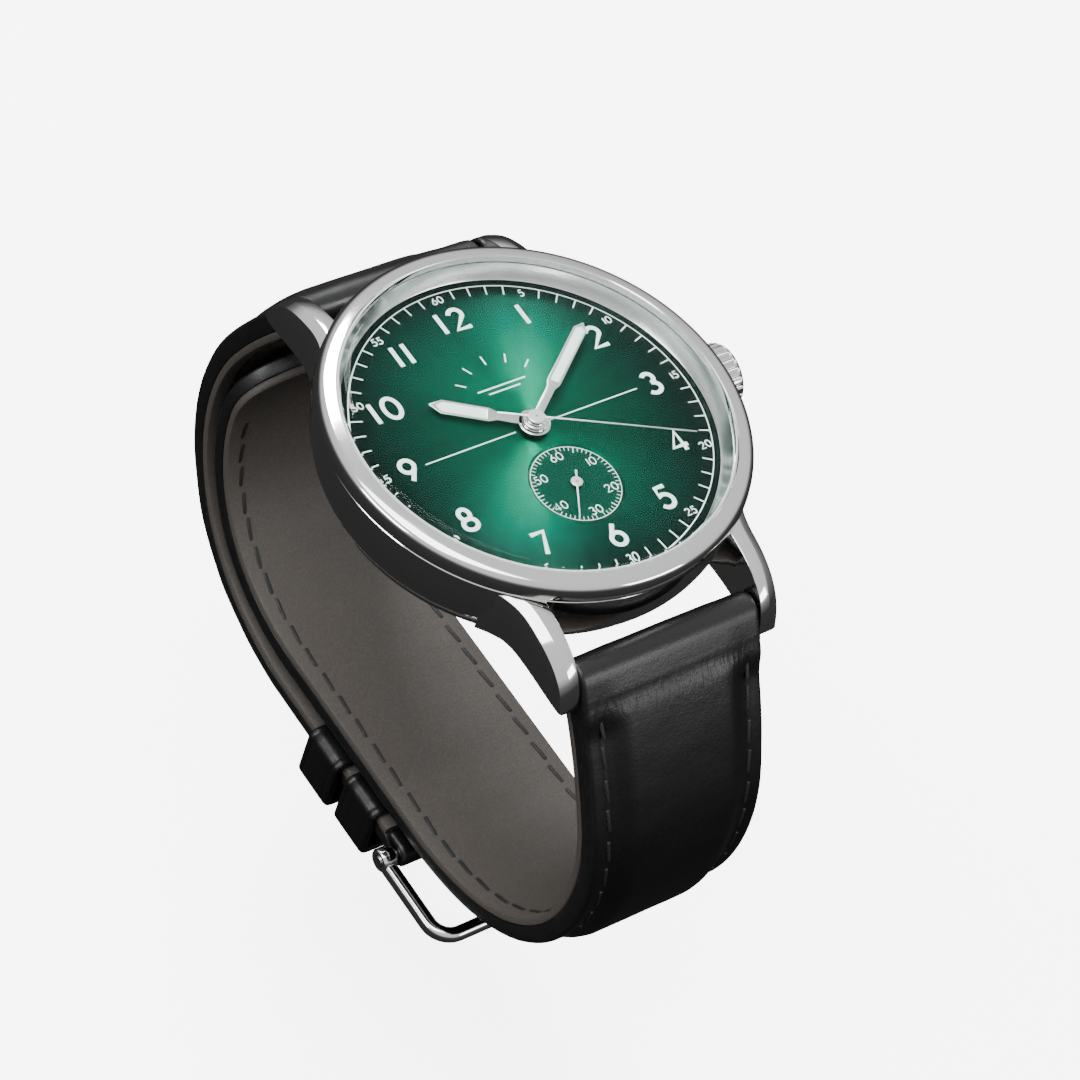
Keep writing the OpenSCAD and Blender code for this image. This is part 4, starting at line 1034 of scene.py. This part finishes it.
BENDS_12 = [(15, 15), (18, 45), (15, 45), (11, 25), (21, 0)]
BENDS_6 = [(15, 15), (15.192, 45), (13.206, 45), (11, 25), (22.397, 0), (9.298, 25),
           (11.937, 45), (16.97, 51.2)]
LINING_T = 0.8
T1, T2 = 3.8, 2.4
KNUCKLE = 1.78


def way(bends, step=0.55):
    """Stations down a strap half: (point in the YZ plane, direction in degrees, thickness)."""
    p, a = Vector((BAR.y, BAR.z)), 50.0
    total = sum(max(1, math.ceil(turn / 6)) for _, turn in bends)
    done = 0
    stations = [(p.copy(), a, T1)]
    for length, turn in bends:
        coarse = max(1, math.ceil(turn / 6))
        n = max(2, round(length / step))
        for i in range(n):
            mid = math.radians(a + turn / n / 2)
            p = p + Vector((math.cos(mid), -math.sin(mid))) * (length / n)
            a += turn / n
            share = (done + coarse * (i + 1) / n) / total
            stations.append((p.copy(), a, T1 + (T2 - T1) * share))
        done += coarse
    return stations


def ahead(a):
    return Vector((math.cos(math.radians(a)), -math.sin(math.radians(a))))


def out_of(a):
    return Vector((math.sin(math.radians(a)), math.cos(math.radians(a))))


def width_at(z):
    """The strap is widest at the spring bar and narrows down to the flat stretch."""
    share = min(max((BAR.z - z) / (BAR.z + 30), 0), 1)
    return STRAP_W1 + (STRAP_W2 - STRAP_W1) * share


def ease(t):
    t = min(max(t, 0), 1)
    return t * t * (3 - 2 * t)


def sleeve(name, rings, closed=False):
    """A skin through rings of points, drawn out of a grid; its ends are closed."""
    deselect()
    around, along = len(rings[0]), len(rings) - (0 if closed else 1)
    bpy.ops.mesh.primitive_grid_add(x_subdivisions=around, y_subdivisions=along, size=MM)
    obj = bpy.context.object
    obj.name = name
    rows = rings + rings[:1] if closed else rings
    for v, point in zip(obj.data.vertices, (p for row in rows for p in list(row) + [row[0]])):
        v.co = Vector(point) * MM
    edit_all(obj)
    bpy.ops.mesh.remove_doubles(threshold=1e-7)
    bpy.ops.mesh.fill_holes(sides=0)
    bpy.ops.object.mode_set(mode="OBJECT")
    outward(obj)
    return obj


def leather_section(w, lo, hi, edge, groove=1.0):
    """Across a padded strap: (x, depth) round the section, thinner at its sewn margins."""
    half, body = w / 2, hi - lo
    xs = [0, 1.2, 2.4, 3.5, 4.4, 5.2, 5.8, 6.3, 6.75, 7.05, 7.3, 7.55, 7.8, 8.05, 8.3, 8.55, 8.8,
          9.1, 9.35]
    xs = [x * (half - 0.45) / 9.35 for x in xs]
    tops = []
    for x in xs:
        from_side = half - x
        swell = ease((from_side - 1.9) / 2.4)
        d = lo + body * (edge + (1 - edge) * swell)
        d -= 0.13 * groove * math.exp(-((from_side - 1.65) / 0.3) ** 2)
        tops.append((x, d))
    side_d = tops[-1][1]
    r = min(0.42, (side_d - lo) * 0.45)
    corner = [(half - r + r * math.sin(math.radians(t)), side_d - r
        + r * math.cos(math.radians(t))) for t in (25, 50, 75, 90)]
    low_r = min(0.18, r)
    foot = [(half, lo + low_r), (half - low_r * 0.3, lo + low_r * 0.3), (half - low_r, lo)]
    right = tops + corner + foot
    under = [(x, lo) for x in (half * 0.8, half * 0.5, half * 0.25)]
    right += under
    left = [(-x, d) for x, d in reversed(right[1:])]
    return right + [(0, lo)] + left


def ring_at(point, normal, section):
    return [(x, point.x + normal.x * d, point.y + normal.y * d) for x, d in section]


def strap_rings(bends, buckle_end):
    """The leather from its turned-in end, round the spring bar and down the strap."""
    stations = way(bends)
    bar = stations[0][0]
    a0 = stations[0][1]
    rings = []
    for s in (1.75, 1.1, 0.5, 0):
        point = bar + ahead(a0) * s
        rings.append(ring_at(point, -out_of(a0), leather_section(STRAP_W1, 0.98, KNUCKLE + 0.02,
                                                                  0.97, 0)))
    for i in range(1, 12):
        turn = out_of(a0 - 180 + 180 * i / 12)
        rings.append(ring_at(bar, -turn if turn.dot(ahead(a0)) > 0 else turn,
                             leather_section(STRAP_W1, 0.95, KNUCKLE, 0.95, 0)))
    s = 0.0
    last = bar
    length = sum(b[0] for b in bends)
    for point, a, thick in stations:
        s += (point - last).length
        last = point
        to_end = length - s
        w = width_at(point.y)
        lo = LINING_T - thick / 2
        hi = thick / 2
        lo = 0.95 + (lo - 0.95) * ease(s / 2.4)
        edge = 0.95 - 0.26 * ease((s - 2.6) / 3.5)
        edge += 0.19 * ease((s - length * 0.45) / (length * 0.35))
        hi -= (thick / 2 - KNUCKLE) * (1 - ease((s - 2.6) / 3))
        hi -= 0.16 * math.exp(-((s - 2.9) / 0.45) ** 2)
        if buckle_end:
            lo = lo + (0.66 - lo) * ease((2.2 - to_end) / 1.8)
            hi = hi + (1.42 - hi) * ease((4 - to_end) / 3)
            edge = edge + (0.96 - edge) * ease((5 - to_end) / 3)
        else:
            tip = max(0.0, 8 - to_end) / 8
            w = max(1.6, w * math.sqrt(max(0.0, 1 - tip ** 2.2)))
            edge = edge + (0.97 - edge) * ease((7 - to_end) / 5)
        section = leather_section(w, lo, hi, edge, ease((s - 3) / 2) * ease((to_end - 6) / 2))
        rings.append(ring_at(point, out_of(a), section))
    if buckle_end:
        point, a, _ = stations[-1]
        for i in range(1, 12):
            rings.append(ring_at(point, out_of(a + 180 * i / 12),
                                 leather_section(STRAP_W2, 0.66, 1.42, 0.96, 0)))
        for s in (0, 0.5, 1.0, 1.5):
            rings.append(ring_at(point - ahead(a) * s, -out_of(a),
                                 leather_section(STRAP_W2, 0.68, 1.44, 0.97, 0)))
    return rings


def lining_rings(bends, buckle_end):
    stations = way(bends)
    rings = []
    s = 0.0
    last = stations[0][0]
    length = sum(b[0] for b in bends)
    for point, a, thick in stations:
        s += (point - last).length
        last = point
        to_end = length - s
        if s < 1.95 or (buckle_end and to_end < 1.7):
            continue
        w = width_at(point.y) - 0.08
        if not buckle_end:
            w = max(1.4, w * math.sqrt(max(0.0, 1 - (max(0.0, 8 - to_end) / 8) ** 2.2)))
        half, lo, hi = w / 2, -thick / 2, LINING_T - thick / 2 - 0.015
        r = min(0.3, half * 0.3)
        right = [(0, hi), (half * 0.35, hi), (half * 0.7, hi), (half - 0.1, hi), (half, hi - 0.1),
                 (half, lo + r), (half - r * 0.3, lo + r * 0.3), (half - r, lo),
                 (half * 0.7, lo), (half * 0.35, lo)]
        section = right + [(0, lo)] + [(-x, d) for x, d in reversed(right[1:])]
        rings.append(ring_at(point, out_of(a), section))
    return rings


def unevenness(obj, size, amount):
    """Soft hollows and swellings, as leather has, always the same."""
    for v in obj.data.vertices:
        p = v.co / MM
        shift_by = noise.noise(p * size) + 0.5 * noise.noise(p * size * 2.3)
        v.co += v.normal * shift_by * amount * MM


def stitches(name, bends, buckle_end, body, across):
    """Two rows of stitches down the sewn margins, on the leather and on the lining."""
    one = rod("stitch", 0.22, 2.3, spin(90, "X"), 8)
    edit_all(one)
    bpy.ops.mesh.bevel(offset=0.12 * MM, segments=2, affect="EDGES")
    bpy.ops.object.mode_set(mode="OBJECT")
    place(one, Matrix.Diagonal((1.05, 1, 0.7, 1)))
    stations = way(bends, 0.25)
    length = sum(b[0] for b in bends)
    made = []
    s, due = 0.0, 4.6
    last = stations[0][0]
    for point, a, thick in stations:
        s += (point - last).length
        last = point
        if s < due or s > length - (6.5 if buckle_end else 8.5):
            continue
        due += 3.1
        edge = 0.95 - 0.26 * ease((s - 2.6) / 3.5) + 0.19 * ease((s - length * 0.45)
                                                               / (length * 0.35))
        lo = LINING_T - thick / 2
        top = lo + (thick / 2 - lo) * edge - 0.1
        x = width_at(point.y) / 2 - 1.65
        for sign in (1, -1):
            for depth in (top, 0.02 - thick / 2):
                spot = point + out_of(a) * depth
                lay = shift(sign * x, spot.x, spot.y) @ spin(-a, "X") @ spin(sign * 5, "Z")
                made.append(copy_of(one, in_metres(lay)))
    bpy.data.objects.remove(one, do_unlink=True)
    rows = join(name, made)
    place(rows, across)
    outward(rows)
    smooth(rows, 50)
    give(rows, body, "black_leather", THREAD)


def strap_half(name, bends, buckle_end, body, across, leather_node, lining_node):
    top = sleeve(name + "_leather", strap_rings(bends, buckle_end))
    under = sleeve(name + "_lining", lining_rings(bends, buckle_end))
    for piece in (top, under):
        place(piece, across)
        outward(piece)
    unevenness(top, 0.22, 0.035)
    if not buckle_end:
        for i in range(4):
            y = HOLES_Y - HOLE_STEP * i
            for piece in (top, under):
                cut(piece, rod("hole", 0.9, 8, shift(0, y, BUCKLE_BAR.z), 24))
    else:
        slot_box = block("slot", (-1.4, BUCKLE_BAR.y - 3, BUCKLE_BAR.z - 4),
                         (1.4, BUCKLE_BAR.y + 2.2, BUCKLE_BAR.z + 4))
        cut(top, copy_of(slot_box, Matrix.Identity(4)))
        cut(under, slot_box)
    smooth(top, 42)
    smooth(under, 42)
    give(top, body, "black_leather", LEATHER, leather_node)
    painted_edge(top)
    give(under, body, "lining_leather", LINING, lining_node)
    stitches(name + "_stitches", bends, buckle_end, body, across)


def painted_edge(obj):
    """The cut sides of the strap carry edge paint."""
    obj.data.materials.append(LEATHER_EDGE)
    for face in obj.data.polygons:
        if abs(face.normal.x) > 0.8:
            face.material_index = 1


HOLES_Y = 8.167  # the first hole; the others follow at HOLE_STEP
HOLE_STEP = 6
MIRROR_Y = Matrix.Diagonal((1, -1, 1, 1))


def strap():
    strap_half("strap_at_12", BENDS_12, True, "strap_12", Matrix.Identity(4),
               "strap_12_leather", "strap_12_lining")
    strap_half("strap_at_6", BENDS_6, False, "strap_6", MIRROR_Y,
               "strap_6_leather", "strap_6_lining")
    loop("sewn_keeper", "fixed_keeper", "strap_12")
    loop("sliding_keeper", "free_keeper", "free_keeper")


def loop(name, node, body):
    """A narrow band of leather with rounded corners, a crowned face and two creased lines."""
    a, b = low(node), high(node)
    mid, half_w, half_h = (a + b) / 2, (b.x - a.x) / 2, (b.z - a.z) / 2
    wall, wide = 0.8, b.y - a.y
    outline = []
    r = 1.1
    for cx, cz, start in ((half_w - r, half_h - r, 0), (r - half_w, half_h - r, 90),
                          (r - half_w, r - half_h, 180), (half_w - r, r - half_h, 270)):
        for i in range(9):
            t = math.radians(start + i * 90 / 8)
            outline.append((cx + r * math.cos(t), cz + r * math.sin(t),
                            Vector((math.cos(t), math.sin(t)))))
    long_way = []
    for i, (x, z, n) in enumerate(outline):
        long_way.append((x, z, n))
        nx, nz, _ = outline[(i + 1) % len(outline)]
        gap = math.hypot(nx - x, nz - z)
        for k in range(1, int(gap / 0.8)):
            t = k / int(gap / 0.8)
            long_way.append((x + (nx - x) * t, z + (nz - z) * t, n))
    rings = []
    for x, z, n in long_way:
        ring = []
        for share, depth in ((-1, 0.5), (-1, 0.22), (-0.96, 0.08), (-0.86, 0.01), (-0.74, 0.0),
                             (-0.70, 0.07), (-0.66, 0.0), (-0.35, 0.0), (0, 0.0), (0.35, 0.0),
                             (0.66, 0.0), (0.70, 0.07), (0.74, 0.0), (0.86, 0.01),
                             (0.96, 0.08), (1, 0.22), (1, 0.5), (1, 0.7), (0.97, wall),
                             (0.3, wall), (-0.3, wall), (-0.97, wall), (-1, 0.7)):
            y = mid.y + share * wide / 2
            ring.append((mid.x + x - n.x * depth, y, mid.z + z - n.y * depth))
        rings.append(ring)
    band = sleeve(name, rings, closed=True)
    smooth(band, 40)
    give(band, body, "black_leather", LEATHER, node)


def on_buckle_bar(x):
    return shift(x, BUCKLE_BAR.y, BUCKLE_BAR.z) @ spin(90, "Y")


def add_eye(piece, profile, x):
    """Joins a turned eye round the buckle bar to a piece."""
    eye = turned("eye", profile, steps=40)
    place(eye, in_metres(on_buckle_bar(x)))
    outward(eye)
    modify(piece, "BOOLEAN", operation="UNION", object=eye, solver="EXACT")
    bpy.data.objects.remove(eye, do_unlink=True)


def bore(piece, x):
    cut(piece, rod("bore", 0.64, 4, on_buckle_bar(x), 40))


def buckle():
    """A stirrup of rounded bar, and a tongue with a rolled eye."""
    a, b = low("buckle_frame"), high("buckle_frame")
    half = (b.x - a.x) / 2 - 0.75
    reach = BUCKLE_BAR.y - a.y - 0.8
    r = 2.2
    line = [((half, 0.3), 0.0)]
    line += [((half, -(reach - r) * i / 10), 0.0) for i in range(11)]
    line += [((half - r + r * math.cos(math.radians(t)),
        -(reach - r) - r * math.sin(math.radians(t))), float(t)) for t in range(9, 91, 9)]
    line += [((half - r - (half - r) * i / 10, -reach), 90.0) for i in range(1, 11)]
    line += [((-x, y), 180 - t) for (x, y), t in reversed(line[:-1])]
    rings = []
    for (x, y), t in line:
        nx, ny = math.cos(math.radians(t)), -math.sin(math.radians(t))
        flat = abs(math.sin(math.radians(t)))
        ring = []
        for k in range(20):
            u = math.tau * k / 20
            cu, su = math.cos(u), math.sin(u)
            e = 0.72 + 0.28 * flat
            across = math.copysign(abs(cu) ** e, cu) * 0.75
            up = math.copysign(abs(su) ** e, su) * 0.78
            ring.append((x + nx * across, BUCKLE_BAR.y + y + ny * across,
                         BUCKLE_BAR.z - 0.4 + up))
        rings.append(ring)
    stirrup = sleeve("stirrup", rings)
    for x in (half, -half):
        add_eye(stirrup, [(0.66, -0.75), (1.1, -0.75), (1.2, -0.6), (1.2, 0.6), (1.1, 0.75),
                          (0.66, 0.75)], x)
    for x in (half, -half):
        bore(stirrup, x)
    smooth(stirrup, 35)
    give(stirrup, "buckle", "polished_steel", STEEL, "buckle_frame")
    lift = 1.35
    top = bezier((0.3, 0.75), (-2, -0.3), (-5, -lift + 0.35), (-reach - 0.1, -lift + 0.02), 12)
    under = bezier((-reach - 0.9, -lift - 0.25), (-reach + 1.6, -lift - 0.95), (-3, -1.75),
                   (0.3, -1.1), 12)
    blade = plate("tongue_blade", top + under, -0.9, 0.9)
    lay = Matrix(((0, 0, 1, 0), (1, 0, 0, 0), (0, 1, 0, 0), (0, 0, 0, 1)))
    soften(blade, 0.3, 4, 50)
    place(blade, in_metres(shift(0, BUCKLE_BAR.y, BUCKLE_BAR.z)) @ lay)
    outward(blade)
    add_eye(blade, [(0.66, -0.9), (1.15, -0.9), (1.25, -0.78), (1.25, 0.78), (1.15, 0.9),
                    (0.66, 0.9)], 0)
    bore(blade, 0)
    smooth(blade, 35)
    give(blade, "tongue", "polished_steel", STEEL, "buckle_tongue")


# ---------------------------------------------------------------- the works

FINISH = {
    "nickel": ["main_plate", "train_bridge", "barrel_bridge", "balance_cock", "pallet_cock"],
    "ruby": ["jewels"],
    "blued": ["bridge_screws", "hairspring"],
    "steel": ["barrel_arbor", "ratchet_wheel", "crown_wheel", "crown_wheel_seat", "click",
              "cannon_pinion", "centre_seconds_pinion", "winding_stem", "winding_pinion",
              "sliding_pinion", "setting_lever", "yoke", "pallet_fork", "crown_tube",
              "buckle_bar", "mainspring"],
    "brass": ["barrel", "centre_wheel", "third_wheel", "sweep_wheel", "fourth_wheel",
              "escape_wheel", "balance_wheel", "minute_wheel", "hour_wheel"],
    "satin": ["movement_ring"],
    "rubber": ["case_back_gasket", "crown_gasket"],
}
MADE_OF = {"nickel": NICKEL, "ruby": RUBY, "blued": BLUED, "steel": STEEL_DARK, "brass": BRASS,
           "satin": SATIN, "rubber": BLACK_RUBBER}


def works():
    for finish, names in FINISH.items():
        for name in names:
            mesh = NODES[name].data
            mesh.materials.clear()
            mesh.materials.append(MADE_OF[finish])


# ---------------------------------------------------------------- studio

def lamp(name, size, power, at, size_y=None):
    """A flat lamp aimed at the origin; its place and size are in metres."""
    light = bpy.data.lights.new(name, "AREA")
    light.shape = "RECTANGLE"
    light.size = size
    light.size_y = size_y or size
    light.energy = power
    obj = bpy.data.objects.new(name, light)
    bpy.context.collection.objects.link(obj)
    obj.location = at
    obj.rotation_euler = (-Vector(at)).to_track_quat("-Z", "Y").to_euler()


OPEN_STRAP_DROP = 17  # room under the closed loop for a strap half that opens


def studio():
    deselect()
    floor_z = cad_box[0].z - OPEN_STRAP_DROP * MM
    bpy.ops.mesh.primitive_plane_add(size=6, location=(0, 0, floor_z))
    floor = bpy.context.object
    floor.name = "floor"
    material, _, _ = new_material("pale_floor", {
        "Base Color": (0.93, 0.93, 0.935, 1), "Emission Color": (1, 1, 1, 1),
        "Emission Strength": 5.0, "Roughness": 0.6})
    floor.data.materials.append(material)
    floor.visible_glossy = False
    floor.visible_diffuse = False

    world = bpy.data.worlds.new("studio")
    world.use_nodes = True
    tree = world.node_tree
    coords = add(tree, "ShaderNodeTexCoord")
    parts = add(tree, "ShaderNodeSeparateXYZ", {0: coords.outputs["Generated"]})
    height = add(tree, "ShaderNodeMapRange", {"Value": parts.outputs[2], "From Min": -1.0,
                                              "From Max": 1.0})
    sky = ramp(tree, height.outputs["Result"], [
        (0.0, grey(0.03)), (0.46, grey(0.05)), (0.58, grey(0.22)), (0.70, grey(0.85)),
        (1.0, (0.97, 0.985, 1.0))])
    background = tree.nodes["Background"]
    tree.links.new(sky.outputs["Color"], background.inputs["Color"])
    background.inputs["Strength"].default_value = 1.0
    bpy.context.scene.world = world

    lamp("back_window", 0.24, 6.0, (0.1, 0.5, 0.52), 0.2)
    lamp("overhead", 0.6, 7.0, (-0.25, 0.05, 0.8))
    lamp("side_card", 0.3, 1.6, (-0.6, 0.1, 0.3), 0.15)
    lamp("front_card", 0.35, 1.4, (0.36, -0.62, 0.3), 0.16)


CAMERA_AT = Vector((-183.746, -158.120, 265.482))
CAMERA_AIM = Vector((-6.694, -11.046, 7.2))
CAMERA_ROLL, CAMERA_LENS = 21.157, 133.33


def camera():
    """A long lens from the front left, high up, turned about its own axis."""
    lens = bpy.data.cameras.new("camera")
    obj = bpy.data.objects.new("camera", lens)
    bpy.context.collection.objects.link(obj)
    place_at, target = CAMERA_AT * MM, CAMERA_AIM * MM
    facing = (target - place_at).to_track_quat("-Z", "Y")
    roll = Matrix.Rotation(math.radians(CAMERA_ROLL), 3, "Z").to_quaternion()
    obj.location = place_at
    obj.rotation_mode = "QUATERNION"
    obj.rotation_quaternion = facing @ roll
    lens.lens = CAMERA_LENS
    lens.sensor_width = 36
    lens.clip_start = 0.01
    bpy.context.scene.camera = obj


case_middle()
bezel()
crystal()
rehaut()
back()
crown()
spring_bars()
dial_plate()
dial_print()
hands()
strap()
buckle()
works()
studio()
camera()
